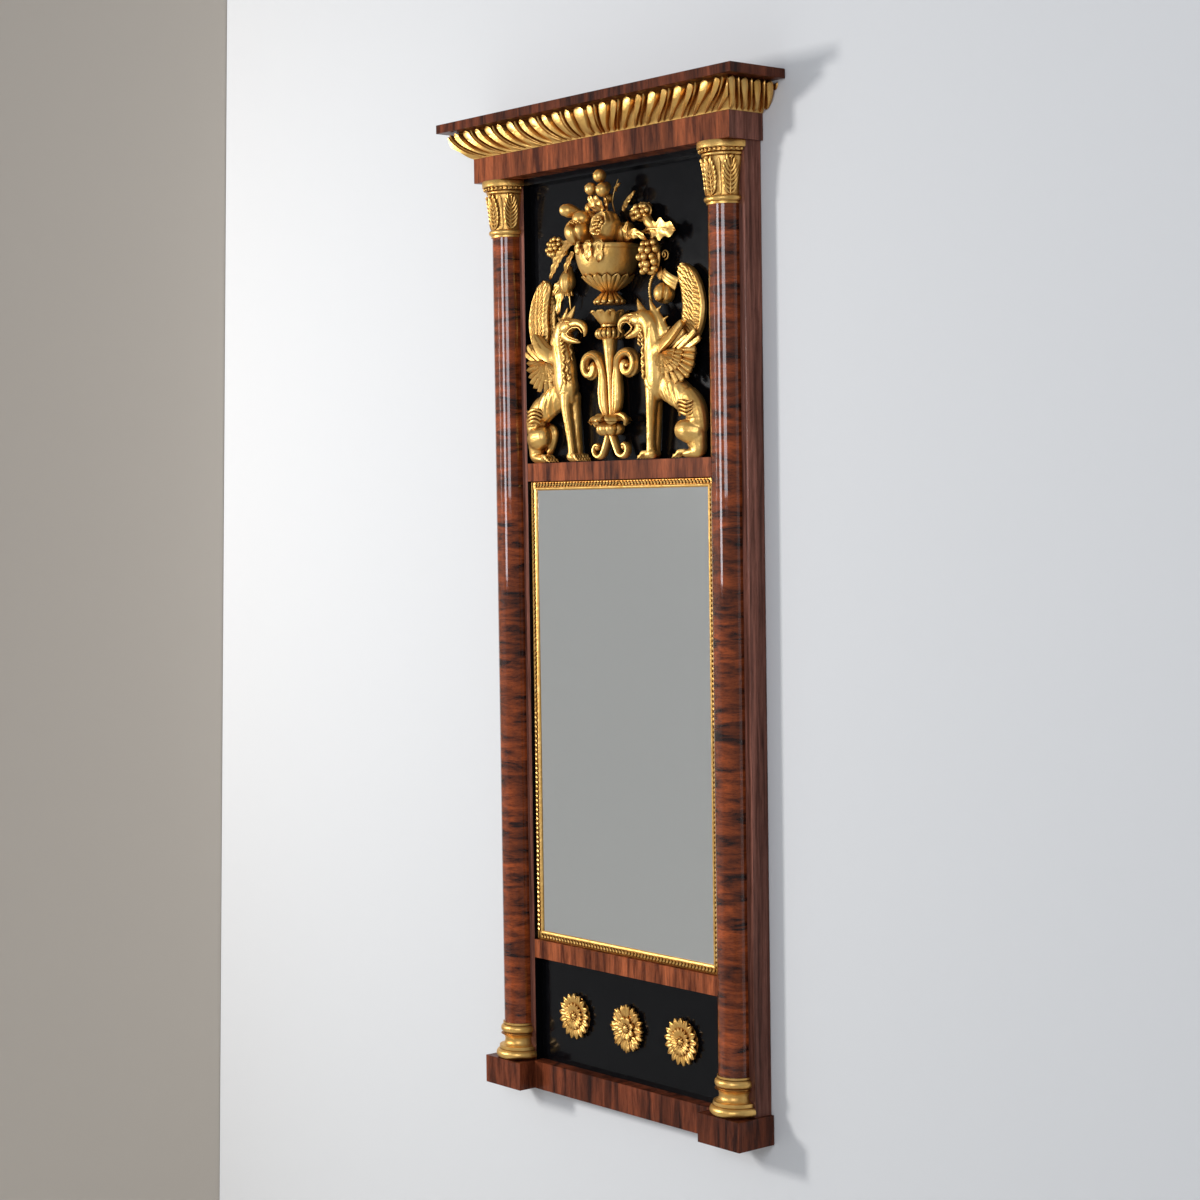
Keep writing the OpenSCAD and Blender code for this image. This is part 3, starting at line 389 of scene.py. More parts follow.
def limb(bm, path, sides=16, steps=5, outward=OUT, shape=None):
    """A rounded limb through stations [x, y, z, half width, half depth], with round ends.

    shape(s, a) scales the section at share s of the length and angle a."""
    path = smooth_path(path, steps)
    centres = [Vector(p[:3]) for p in path]
    rings, count = [], len(path)
    side = None
    frames = []
    for i in range(count):
        t = (centres[min(i + 1, count - 1)] - centres[max(i - 1, 0)]).normalized()
        across = t.cross(outward)
        if across.length < 0.2 and side is not None:
            across = side
        side = across.normalized()
        frames.append((t, side, side.cross(t).normalized()))
    ends = [(-0.95, 0.31), (-0.8, 0.6), (-0.5, 0.87)]
    stations = [(0, off, k) for off, k in ends] + [(i, 0, 1) for i in range(count)] \
        + [(count - 1, -off, k) for off, k in reversed(ends)]
    for i, off, k in stations:
        t, across, deep = frames[i]
        wide, thick = max(path[i][3], 0.05), max(path[i][4], 0.05)
        base = centres[i] + t * off * min(wide, thick)
        ring = []
        for j in range(sides):
            a = 2 * math.pi * j / sides
            q = k * (shape(i / (count - 1), a) if shape else 1)
            ring.append(base + across * wide * q * math.cos(a) + deep * thick * q * math.sin(a))
        rings.append(ring)
    loft(bm, rings)


def turned(bm, profile, centre, start=0.0, sweep=360.0, steps=64):
    """Spins a profile of [radius, height] about the upright through centre."""
    verts = [bm.verts.new(Vector((r * math.cos(math.radians(start)), r * math.sin(math.radians(start)), z))
                          + Vector(centre)) for r, z in profile]
    edges = [bm.edges.new(pair) for pair in zip(verts, verts[1:])]
    before = set(bm.verts)
    bmesh.ops.spin(bm, geom=verts + edges, cent=centre, axis=(0, 0, 1), angle=math.radians(sweep),
                   steps=steps, use_merge=sweep >= 360)
    made = [v for v in bm.verts if v not in before] + verts
    bmesh.ops.remove_doubles(bm, verts=made, dist=0.001)


def close_holes(bm):
    edges = [e for e in bm.edges if e.is_boundary]
    if edges:
        bmesh.ops.holes_fill(bm, edges=edges, sides=0)


def arc(x, z, r, a0, a1, n=10):
    """Points on an arc about [x, z], from angle a0 to a1."""
    return [(x + r * math.cos(math.radians(a0 + (a1 - a0) * i / n)),
             z + r * math.sin(math.radians(a0 + (a1 - a0) * i / n))) for i in range(n + 1)]


def ball(bm, centre, radius, detail=3, stretch=(1, 1, 1)):
    """A round berry, bead or fruit, stretched along the axes."""
    matrix = Matrix.Translation(centre) @ Matrix.Diagonal((*stretch, 1))
    return bmesh.ops.create_icosphere(bm, subdivisions=detail, radius=radius, matrix=matrix)["verts"]


def cut(bm, point, normal):
    """Takes off what lies on the normal's side of a plane, and closes the cut."""
    bmesh.ops.bisect_plane(bm, geom=[*bm.verts, *bm.edges, *bm.faces], dist=0.0001, plane_co=point,
                           plane_no=normal, clear_outer=True)
    close_holes(bm)


def cut_back(bm):
    """Takes off what would lie behind the face of the panel."""
    cut(bm, (0, 0, 0), (0, -1, 0))


def ease(low, high, x):
    """Rises smoothly from 0 at low to 1 at high."""
    s = min(max((x - low) / (high - low), 0), 1)
    return s * s * (3 - 2 * s)


# --------------------------------------------------------------- properties

def colour_prop(name, description, hex_colour):
    return FloatVectorProperty(name=name, description=description, subtype="COLOR", size=3, min=0, max=1,
                               default=linear(hex_colour)[:3])


def size_prop(name, description, value):
    return FloatProperty(name=name, description=description + ", in millimetres", default=value, min=0,
                         subtype="DISTANCE")


class PierMirrorFinishes(bpy.types.PropertyGroup):
    """Colours of the woods, the gilding and the plate."""
    gold: colour_prop("Gold leaf", "Burnished gold leaf", "#f5cf84")
    gold_deep: colour_prop("Matt gold", "Matt gold leaf over ochre", "#d69e46")
    # the toner colour is also painted shade in the hollows of the gilding
    toner: colour_prop("Toner", "Warm toner left in the hollows", "#9c5a16")
    bole: colour_prop("Bole", "Red clay that shows where the leaf is rubbed", "#7c3a1a")
    veneer_light: colour_prop("Veneer, light", "Light streaks of the front veneers", "#b4613a")
    veneer_dark: colour_prop("Veneer, dark", "Dark streaks of the front veneers", "#4a2012")
    deep_light: colour_prop("Deep veneer, light", "Light streaks of the cornice board and the base", "#86442a")
    deep_dark: colour_prop("Deep veneer, dark", "Dark streaks of the cornice board and the base", "#2c120b")
    flame_light: colour_prop("Column veneer, light", "Light flames on the columns", "#a04a1e")
    flame_dark: colour_prop("Column veneer, dark", "Dark flames on the columns", "#260e08")
    side_light: colour_prop("Side veneer, light", "Light streaks of the case sides", "#9e6656")
    side_dark: colour_prop("Side veneer, dark", "Dark streaks of the case sides", "#5a352b")
    ebony: colour_prop("Ebonised wood", "Black stained panels", "#09090b")
    silver: colour_prop("Silvering", "Reflection of the aged plate", "#dcdcd9")
    foxing: colour_prop("Foxing", "Spots in the silvering", "#6a6a66")
    pine: colour_prop("Pine", "Bare softwood behind the case", "#b78f5c")
    pine_dark: colour_prop("Pine, dark", "Growth lines of the softwood", "#8c6538")
    brass: colour_prop("Brass", "Hanging plates", "#a8853f")
    steel: colour_prop("Steel", "Screws and nails", "#8a8a8c")


class PierMirrorSizes(bpy.types.PropertyGroup):
    """Sizes of the ornament that the looks alone need."""
    lobe_pitch: size_prop("Lobe pitch", "Distance from a gadroon to the next dart at the top of the cornice",
                          32.8)
    lobe_sweep: size_prop("Lobe sweep", "How far the gadroons' tails sweep", 32.0)
    lobe_swell: size_prop("Lobe swell", "How far the gadroons stand out of their ground", 16.0)
    leaf_pitch: size_prop("Leaf pitch", "Distance between leaves on the sight moulding", 8.6)
    edge: size_prop("Softened edge", "Wear on the corners of the case", 0.7)
    beads: IntProperty(name="Beads", description="Beads round each half capital", default=15, min=5)
    frond_leaflets: IntProperty(name="Leaflets", description="Leaflets on each side of a palm leaf", default=7,
                                min=3)
    daisy_petals: IntProperty(name="Daisy petals", description="Petals of the outer rosettes", default=17,
                              min=8)


def sizes():
    return bpy.context.scene.pier_mirror_sizes


class PierOperator(bpy.types.Operator):
    """Base of the operators, each of which makes a part of the mirror."""
    bl_options = {"REGISTER", "UNDO"}


# --------------------------------------------------------------------- case

class PIER_OT_case(PierOperator):
    """Veneer the case: stiles, rails, plinth, frieze and cornice board."""
    bl_idname = "pier_mirror.case"
    bl_label = "Case"

    # Faces of the CAD are joined where they meet within WELD millimetres, and corners
    # sharper than CORNER degrees are softened
    WELD, CORNER = 0.01, 40

    def execute(self, context):
        groups = {
            cross_banded_veneer: ["lower_rail", "upper_rail", "frieze_front", "frieze_soffit"],
            side_veneer: ["stile_left", "stile_right", "frieze_return_left", "frieze_return_right"],
            deep_veneer: ["cornice_board", "base_rail", "plinth_block_left", "plinth_block_right"],
            bare_pine: ["frieze_back", "frieze_blocks", "plate_wedges", "back_boards"],
            # the top rail under the frieze is given the panels' black finish
            ebonised_polish: ["lower_panel", "upper_panel", "top_rail"],
            dull_brass: ["hanging_plate_left", "hanging_plate_right"],
            plain_steel: ["plate_screws", "cornice_screws", "board_nails"],
        }
        for make, names in groups.items():
            for name in names:
                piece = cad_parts[name]
                piece.data.materials.clear()
                piece.data.materials.append(finish(make))
                if make in (cross_banded_veneer, side_veneer, deep_veneer):
                    weld = piece.modifiers.new("Weld", "WELD")
                    weld.merge_threshold = self.WELD / 1000
                    soft = piece.modifiers.new("Bevel", "BEVEL")
                    soft.width, soft.segments = sizes().edge / 1000, 2
                    soft.limit_method, soft.angle_limit = "ANGLE", math.radians(self.CORNER)
        return {"FINISHED"}


class PIER_OT_shafts(PierOperator):
    """Turn the half-round column shafts."""
    bl_idname = "pier_mirror.shafts"
    bl_label = "Column shafts"

    def execute(self, context):
        for side, sign in SIDES:
            low, high = (millimetres(c).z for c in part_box("shaft_" + side))
            bm = bmesh.new()
            turned(bm, [(0, low), (SHAFT_R, low), (SHAFT_R, high), (0, high)],
                   (sign * COLUMN_X, -COLUMN_Y, 0), 180, 180, 72)
            close_holes(bm)
            new_piece(bm, "column_shaft_" + side, finish(flame_veneer), ["shaft_" + side])
        return {"FINISHED"}


class PIER_OT_bases(PierOperator):
    """Turn the gilt column bases."""
    bl_idname = "pier_mirror.bases"
    bl_label = "Column bases"

    def execute(self, context):
        profile = [(0, 0), (38.5, 0), *arc(38.5, 8.5, 8.5, -90, 90, 14), (40.5, 17.4), (40.8, 20), (40.5, 23.4),
                   *arc(41.5, 34, 11.5, 250, 110, 14), (33, 44.2), (33, 47), *arc(29.7, 55, 8, -90, 90, 14),
                   (33.2, 63.4), (33.5, 66.9), (0, 67)]
        for side, sign in SIDES:
            bm = bmesh.new()
            turned(bm, [(r, z + BASE_Z) for r, z in profile], (sign * COLUMN_X, -COLUMN_Y, 0), 180, 180, 64)
            close_holes(bm)
            gild(bm, "turned_base_" + side, "column_base_" + side)
        return {"FINISHED"}


class PIER_OT_capitals(PierOperator):
    """Carve the palm-leaf capitals with their bead course."""
    bl_idname = "pier_mirror.capitals"
    bl_label = "Capitals"

    @staticmethod
    def bell(z):
        """Radius of the bell at a height over the capital's foot."""
        v = ease(14, 78, z)
        return 31.6 + 4.6 * v + 2.6 * v ** 6

    def on_bell(self, angle, z, out):
        a, r = math.radians(angle), self.bell(z) + out
        return Vector((r * math.cos(a), -r * math.sin(a), z))

    def frond(self, bm, middle_angle):
        """A palm leaf: a stem and pairs of curved leaflets, with a curled top."""
        count = sizes().frond_leaflets
        stem = [(*self.on_bell(middle_angle, 15 + 60 * s, 0.4 + 3.4 * s ** 4), 1.5 - 0.7 * s, 2.0) for s in
                (0, 0.3, 0.6, 0.85, 1)]
        limb(bm, stem, 8, 3, outward=self.on_bell(middle_angle, 40, 0).normalized())
        for side in (-1, 1):
            for i in range(count):
                low = 15 + 50 * i / count
                reach = 21 * math.sin(math.pi * (0.34 + 0.5 * i / (count - 1)))
                path = []
                for s, wide in ((0, 1.3), (0.4, 2.3), (0.75, 2.5), (1, 0.9)):
                    angle = middle_angle + side * reach * s ** 0.8
                    place = self.on_bell(angle, low + (15 + 0.8 * i) * s ** 1.5, 0.6 + 2.2 * s)
                    path.append((*place, wide, 1.9))
                limb(bm, path, 8, 3, outward=self.on_bell(middle_angle + side * reach / 2, 40, 0).normalized())
        ball(bm, self.on_bell(middle_angle, 76, 4), 3.6, 2, (1, 1, 0.9))

    def execute(self, context):
        for side, sign in SIDES:
            bm = bmesh.new()
            profile = [(0, 0), (33, 0), (33, 3.6), *arc(32.3, 9, 5, -90, 90, 12)]
            profile += [(self.bell(14 + 62 * i / 14), 14 + 62 * i / 14) for i in range(15)]
            profile += [(38.5, 78), *arc(37.5, 82.5, 3.5, -90, 90, 8), (43, 86.2), (43, 91.8), (47.3, 92),
                        (48.5, 93.6), (48.5, 102.4), (47.4, 104), (0, 104)]
            turned(bm, profile, (0, 0, 0), 180, 180, 72)
            close_holes(bm)
            for angle in (30, 90, 150):
                self.frond(bm, angle)
            for angle in (60, 120):
                # a plain water leaf between the palm leaves
                limb(bm, [(*self.on_bell(angle, z, out), wide, thick) for z, out, wide, thick in
                          ((16, 0, 2.6, 1.6), (46, 0.5, 2.2, 1.6), (66, 1.5, 3.2, 2), (74, 2.4, 0.8, 1))],
                     8, 3, outward=self.on_bell(angle, 40, 0).normalized())
            beads = sizes().beads
            for i in range(beads):
                a = math.pi * (i + 0.5) / beads
                ball(bm, (44 * math.cos(a), -44 * math.sin(a), 89), 2.9, 2)
            cut(bm, (0, 0, 0), (0, 1, 0))
            gild(bm, "palm_capital_" + side, "capital_" + side,
                 Matrix.Translation((sign * COLUMN_X, -COLUMN_Y, CAPITAL_Z)))
        return {"FINISHED"}


# ------------------------------------------------------------------ cornice

class PIER_OT_gadroons(PierOperator):
    """Carve the gadrooned cornice moulding and its two returns."""
    bl_idname = "pier_mirror.gadroons"
    bl_label = "Gadrooned cornice"

    # Lobes on each half of the front, more than reach the mitre, and lobes on a return
    LOBES, LOBES_ON_RETURN = 7, 4.1
    # A hollow dart's strong inner edge and thin outer edge, then the next lobe: each in
    # pitches past the lobe before, with half its width in pitches, its rise and its top
    DART_AND_LOBE = ((0.95, 0.35, 0.94, 0.93), (1.42, 0.06, 0.66, 0.92), (2, 0.46, 1, 0.95))

    @staticmethod
    def ovolo(v):
        """How far the lobes stand out at share v of the height."""
        return GADROON_OUT * math.sin(math.pi / 2 * min(v * 1.08, 1)) ** 0.62 - 2.5 * max(v - 0.9, 0) / 0.1

    def lobe(self, bm, top, sweep, half, swell, run_out, high=0.95):
        """A lobe down the moulding from a share of its height.

        run_out turns [along, out, up] to a place."""
        rings = []
        steps = 18
        for i in range(steps + 1):
            s = i / steps
            v = high - high * s
            head = math.sqrt(max(1 - ((0.16 - s) / 0.16) ** 2, 0.02)) if s < 0.16 else 1
            width = half * head * (1 - 0.62 * ease(0.3, 1, s))
            rise = swell * head * (1 - 0.7 * ease(0.4, 1, s))
            slope = (self.ovolo(min(v + 0.02, 1)) - self.ovolo(max(v - 0.02, 0))) / (0.04 * GADROON_H)
            n_out, n_up = 1 / math.hypot(1, slope), -slope / math.hypot(1, slope)
            along = top * (HALF_FRIEZE + self.ovolo(v)) / (HALF_FRIEZE + GADROON_OUT) - sweep * (1 - v) ** 2
            ring = []
            for k in range(14):
                a = 2 * math.pi * k / 14
                face = math.sin(a)
                lift = rise * (face - 1) if face > 0 else -rise + 5 * face
                ring.append(run_out(along + width * math.cos(a) * (1 - 0.1 * max(-face, 0)),
                                    self.ovolo(v) + lift * n_out, v * GADROON_H + lift * n_up))
            rings.append(ring)
        loft(bm, rings)

    def ground(self, bm, reach, run_out):
        """The plain ovolo behind the lobes."""
        swell = sizes().lobe_swell
        rings = []
        for along in (-reach, 0, reach):
            ring = [run_out(along, max(self.ovolo(i / 10) - swell * (0.55 + 0.45 * i / 10), 0.5),
                            GADROON_H * i / 10) for i in range(11)]
            rings.append(ring + [run_out(along, -14, GADROON_H), run_out(along, -14, 0)])
        loft(bm, rings)

    @staticmethod
    def sweep_at(along):
        """How far a lobe's tail sweeps, more the further it is from the middle."""
        return sizes().lobe_sweep * ease(0, 125, along)

    def execute(self, context):
        pitch, swell = sizes().lobe_pitch, sizes().lobe_swell
        bm = bmesh.new()

        def front(along, out, up):
            return Vector((along, -FRIEZE_D - out, up))
        self.ground(bm, HALF_FRIEZE + 60, front)
        self.lobe(bm, 0, 0, pitch * 0.6, swell, front)
        for side in (-1, 1):
            for i in range(self.LOBES):
                for past, half, rise, high in self.DART_AND_LOBE:
                    place = 2 * i + past
                    self.lobe(bm, side * pitch * place, side * self.sweep_at(pitch * place), pitch * half,
                              swell * rise, front, high)
        for side in (1, -1):
            cut(bm, (side * HALF_FRIEZE, -FRIEZE_D, 0), (side, 1, 0))
        gild(bm, "gadroons_front", "gadroon_front", Matrix.Translation((0, 0, GADROON_Z)), 50)
        pitch_r = (FRIEZE_D + GADROON_OUT) / self.LOBES_ON_RETURN
        for side, sign in SIDES:
            bm = bmesh.new()

            def back(along, out, up):
                return Vector((sign * (HALF_FRIEZE + out), along, up))
            self.ground(bm, 400, back)
            for i in range(self.LOBES):
                # the tails of the returns sweep to the wall
                top = -pitch_r * (i - 0.5)
                for place, half, rise in ((top, 0.4, 1), (top - pitch_r / 2, 0.1, 0.6)):
                    self.lobe(bm, place * (HALF_FRIEZE + GADROON_OUT) / (HALF_FRIEZE + GADROON_OUT * 0.6),
                              -sizes().lobe_sweep * 0.6, pitch_r * half, swell * rise, back)
            cut(bm, (sign * HALF_FRIEZE, -FRIEZE_D, 0), (-sign, -1, 0))
            cut(bm, (0, 0, 0), (0, 1, 0))
            gild(bm, "gadroons_" + side, "gadroon_return_" + side,
                 Matrix.Translation((0, 0, GADROON_Z)), 50)
        return {"FINISHED"}


# ------------------------------------------------------- plate and moulding

class PIER_OT_plate(PierOperator):
    """Grind the bevelled plate."""
    bl_idname = "pier_mirror.plate"
    bl_label = "Mirror plate"

    # In millimetres
    BEVEL_WIDE, BEVEL_DEEP = 18, 1.6

    def execute(self, context):
        low, high = (millimetres(c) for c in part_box("mirror_plate"))
        bm = bmesh.new()
        bmesh.ops.create_cube(bm, size=1, matrix=Matrix.Translation((low + high) / 2)
                              @ Matrix.Diagonal((*(high - low), 1)))
        front = [f for f in bm.faces if f.normal.y < -0.9]
        bmesh.ops.inset_region(bm, faces=front, thickness=self.BEVEL_WIDE, depth=0)
        for face in bm.faces:
            if face.normal.y < -0.9 and face not in front:
                for vert in face.verts:
                    if abs(vert.co.x) > high.x - 1 or vert.co.z < low.z + 1 or vert.co.z > high.z - 1:
                        vert.co.y = low.y + self.BEVEL_DEEP
        new_piece(bm, "bevelled_plate", finish(silvered_plate), ["mirror_plate"], sharp=2)
        return {"FINISHED"}


class PIER_OT_sight_moulding(PierOperator):
    """Carve the gilt leaf moulding round the plate."""
    bl_idname = "pier_mirror.sight_moulding"
    bl_label = "Sight moulding"

    def bar(self, bm, length):
        """A mitred strip along X, its outer edge at v = 0."""
        profile = [(0, 0), (0, 1), (1.2, 1.8), (2.4, 0.5), (6.6, 0.9), (10.8, 0.5), (11.4, 2.6), (12.6, 3.4),
                   (14.4, 3.2), (16, 2.2), (17, 1), (17, 0)]
        loft(bm, [[Vector((sign * (length / 2 - v), -out, v)) for v, out in profile] for sign in (-1, 1)])
        pitch = sizes().leaf_pitch
        count = int((length - 22) // pitch)
        for i in range(count):
            x = (i - (count - 1) / 2) * pitch
            lean = math.copysign(1, x)
            # each leaf arches over the sunk bed and leans away from the middle of its side
            rings = []
            for s, wide, up in ((0, 1.0, 0.2), (0.35, 2.9, 1.6), (0.7, 2.6, 1.6), (1, 0.6, 0.2)):
                a = math.radians(165 - 150 * s)
                mid = Vector((x + lean * (s - 0.5) * 4.5, -0.2 - (3.4 + up) * math.sin(a),
                              6.6 + (4.3 + 0.5 * up) * math.cos(a)))
                rim = Vector((0, 0.9 * math.sin(a), -0.9 * math.cos(a)))
                half = Vector((wide, 0, 0))
                rings.append([mid + half + 1.4 * rim, mid, mid - half + 1.4 * rim, mid + 4 * rim])
            loft(bm, rings)

    def execute(self, context):
        mid_z = (MIRROR_LOW + MIRROR_HIGH) / 2
        wide, tall = 2 * HALF_OPEN, MIRROR_HIGH - MIRROR_LOW
        # length, middle of the outer edge and turn of each side
        for side, length, x, z, turn in (("bottom", wide, 0, MIRROR_LOW, 0), ("top", wide, 0, MIRROR_HIGH, 180),
                                         ("right", tall, HALF_OPEN, mid_z, -90),
                                         ("left", tall, -HALF_OPEN, mid_z, 90)):
            bm = bmesh.new()
            self.bar(bm, length)
            gild(bm, "leaf_moulding_" + side, "moulding_" + side,
                 Matrix.Translation((x, -PLATE_Y, z)) @ Matrix.Rotation(math.radians(turn), 4, "Y"))
        return {"FINISHED"}


# ----------------------------------------------------------------- rosettes

class PIER_OT_rosettes(PierOperator):
    """Carve the three rosettes of the lower panel."""
    bl_idname = "pier_mirror.rosettes"
    bl_label = "Rosettes"

    # In millimetres
    ACANTHUS_R, DAISY_R = 44.5, 41.8

    @staticmethod
    def petal(bm, turn, inner, outer, half, low, high, groove, notch=0.0):
        """A cupped petal with a groove, lying in the panel's plane; y is out of the panel."""
        rings = []
        steps = 9
        for i in range(steps + 1):
            s = i / steps
            wide = half * math.sin(math.pi * (0.12 + 0.84 * s ** 1.25)) ** 0.7
            wide *= 1 - notch * (0.5 + 0.5 * math.cos(2 * math.pi * 3.2 * s))
            r = inner + (outer - inner) * s
            out = low + (high - low) * (s ** 0.7) - 2.2 * ease(0.72, 1, s)
            ring = []
            for u in (-1, -0.75, -0.4, 0, 0.4, 0.75, 1):
                rise = 1.6 * (1 - u * u) ** 0.5 - groove * math.exp(-(u / 0.22) ** 2)
                ring.append((wide * u, out + rise, r))
            ring += [(wide * 0.8, out - 4, r), (-wide * 0.8, out - 4, r)]
            c, n = math.cos(turn), math.sin(turn)
            rings.append([Vector((x * c + z * n, -max(y, 0), -x * n + z * c)) for x, y, z in ring])
        loft(bm, rings)

    @staticmethod
    def disc(bm, low, high, depth):
        """The round block under the petals, with its radius on the panel and at the top."""
        place = Matrix.Translation((0, -depth / 2, 0)) @ Matrix.Rotation(math.pi / 2, 4, "X")
        bmesh.ops.create_cone(bm, cap_ends=True, segments=48, radius1=low, radius2=high, depth=depth,
                              matrix=place)

    def daisy(self, bm, radius, count):
        """An outer rosette: a ring of long petals over a ring of short ones."""
        self.disc(bm, radius * 0.84, radius * 0.7, 3)
        for i in range(count):
            turn = 2 * math.pi * i / count
            self.petal(bm, turn, radius * 0.3, radius, radius * math.pi / count * 0.84, 5.5, 11.5, 1.8)
            self.petal(bm, turn + math.pi / count, radius * 0.12, radius * 0.62, radius * 0.5 * math.pi / count,
                       8.5, 13, 1.2)
        ball(bm, (0, -11, 0), radius * 0.13, 3, (1, 0.5, 1))
        for i in range(9):
            a = 2 * math.pi * i / 9
            ball(bm, (radius * 0.19 * math.sin(a), -12, radius * 0.19 * math.cos(a)), 2, 2)

    def acanthus(self, bm, radius):
        """The middle rosette, of eight leaves with split edges."""
        self.disc(bm, radius * 0.72, radius * 0.55, 6)
        for i in range(8):
            turn = math.pi * i / 4
            self.petal(bm, turn + math.pi / 8, radius * 0.3, radius * 0.94, radius * 0.15, 3.5, 8, 1.4, 0.3)
            self.petal(bm, turn, radius * 0.26, radius * 0.98, radius * 0.19, 5.5, 11, 2.2, 0.5)
            for lean in (-0.17, 0.17):
                # side lobes of each leaf, split from it by a dark eye
                self.petal(bm, turn + lean, radius * 0.56, radius * 0.93, radius * 0.075, 6, 10.5, 0.8, 0.2)
            self.petal(bm, turn + math.pi / 8, radius * 0.16, radius * 0.5, radius * 0.13, 9, 13, 1.3)
        for i in range(12):
            a = math.pi * i / 6
            ball(bm, (radius * 0.17 * math.sin(a), -12.2, radius * 0.17 * math.cos(a)), 1.5, 2)
        ball(bm, (0, -11.5, 0), radius * 0.14, 3, (1, 0.5, 1))

    def execute(self, context):
        for side, x in (("left", -ROSETTE_X), ("middle", 0), ("right", ROSETTE_X)):
            bm = bmesh.new()
            if side == "middle":
                self.acanthus(bm, self.ACANTHUS_R)
            else:
                self.daisy(bm, self.DAISY_R, sizes().daisy_petals)
            gild(bm, "carved_rosette_" + side, "rosette_" + side,
                 Matrix.Translation((x, -PANEL_Y, ROSETTE_Z)), 50)
        return {"FINISHED"}


# ------------------------------------------------------------------ carving

def fuse(bm, voxel, rounds):
    """Melts overlapping limbs into one skin, as if carved from one block."""
    bmesh.ops.recalc_face_normals(bm, faces=bm.faces)
    mesh = bpy.data.meshes.new("block")
    bm.to_mesh(mesh)
    bm.clear()
    block = bpy.data.objects.new("block", mesh)
    bpy.context.scene.collection.objects.link(block)
    skin = block.modifiers.new("Remesh", "REMESH")
    skin.mode, skin.voxel_size, skin.adaptivity = "VOXEL", voxel, 0
    even = block.modifiers.new("Smooth", "SMOOTH")
    even.factor, even.iterations = 0.5, rounds
    melted = bpy.data.meshes.new_from_object(block.evaluated_get(bpy.context.evaluated_depsgraph_get()))
    bm.from_mesh(melted)
    bpy.data.objects.remove(block)
    bpy.data.meshes.remove(mesh)
    bpy.data.meshes.remove(melted)
    bm.normal_update()


def press(bm, depth):
    """Moves a fused skin along its normals by depth(x, up, normals), in millimetres."""
    places = np.array([v.co for v in bm.verts])
    normals = np.array([v.normal for v in bm.verts])
    moved = places + normals * depth(places[:, 0], places[:, 2], normals)[:, None]
    for vert, place in zip(bm.verts, moved):
        vert.co = place


def bump_at(x, up, centre, radius):
    """1 at the centre and 0 beyond about two radii; radius is [across, up]."""
    return np.exp(-((x - centre[0]) / radius[0]) ** 2 - ((up - centre[1]) / radius[1]) ** 2)


def blade(bm, path, half, outline, relief, facing=OUT, thick=2.5, steps=6, across=9):
    """A leaf or feather along path.

    outline(s) is its share of the half width at share s of the length, and
    relief(s, u) its height there at share u of the way from midrib to edge."""
    centres = [Vector(p[:3]) for p in smooth_path(path, steps)]
    rings, count = [], len(centres)
    for i, centre in enumerate(centres):
        s = i / (count - 1)
        t = (centres[min(i + 1, count - 1)] - centres[max(i - 1, 0)]).normalized()
        side = t.cross(Vector(facing)).normalized()
        rise = side.cross(t).normalized()
        wide = max(half * outline(s), 0.15)
        top = [centre + side * wide * u + rise * relief(s, u) for u in np.linspace(-1, 1, across)]
        low = [centre + side * wide * u - rise * thick * (1 - 0.5 * abs(u)) for u in (0.8, 0, -0.8)]
        rings.append(top + low)
    loft(bm, rings)


def feather_shape(s):
    """Outline of a feather with parallel sides and a round tip."""
    return min(0.55 + 0.5 * s, 1) * math.sqrt(max(1 - max((s - 0.78) / 0.22, 0) ** 2, 0))


def feather_relief(length, barb=3.4, depth=1.1, crown=1.6):
    """A feather's crown, quill and slanting barbs."""
    def relief(s, u):
        lines = 0.5 + 0.5 * math.cos(2 * math.pi * (s * length / barb - 1.1 * abs(u)))
        return crown * (1 - u * u) + 0.8 * math.exp(-(u / 0.14) ** 2) - depth * lines * (1 - abs(u) ** 6)
    return relief


def feather(bm, root, tip, width, barb=3.4, crown=1.6, bend=(0, 0, 0)):
    """A carved feather from root to tip, each [across, out, up]."""
    length = math.dist(root, tip)
    half_way = [(a + b) / 2 + c for a, b, c in zip(root, tip, bend)]
    blade(bm, [root, half_way, tip], width / 2, feather_shape, feather_relief(length, barb, crown=crown),
          steps=max(int(length / barb * 1.6), 5))


def leaf(bm, path, width, lobes=4, notch=0.3, facing=OUT, veins=0.9, thick=2.0, full=0.75):
    """A lobed leaf with a midrib and side veins, widest where share ** full is a half."""
    def outline(s):
        scallop = 0.5 + 0.5 * math.cos(2 * math.pi * lobes * s)
        return math.sin(math.pi * s ** full) ** 0.8 * (1 - notch * scallop)

    def relief(s, u):
        return (0.9 * math.exp(-(u / 0.12) ** 2) + 1.3 * u * u
                + veins * math.cos(2 * math.pi * (lobes * s - 0.7 * abs(u))) * (1 - 0.6 * abs(u)))
    blade(bm, path, width / 2, outline, relief, facing, thick, steps=max(6 * lobes, 12) // (len(path) - 1) + 3,
          across=13)


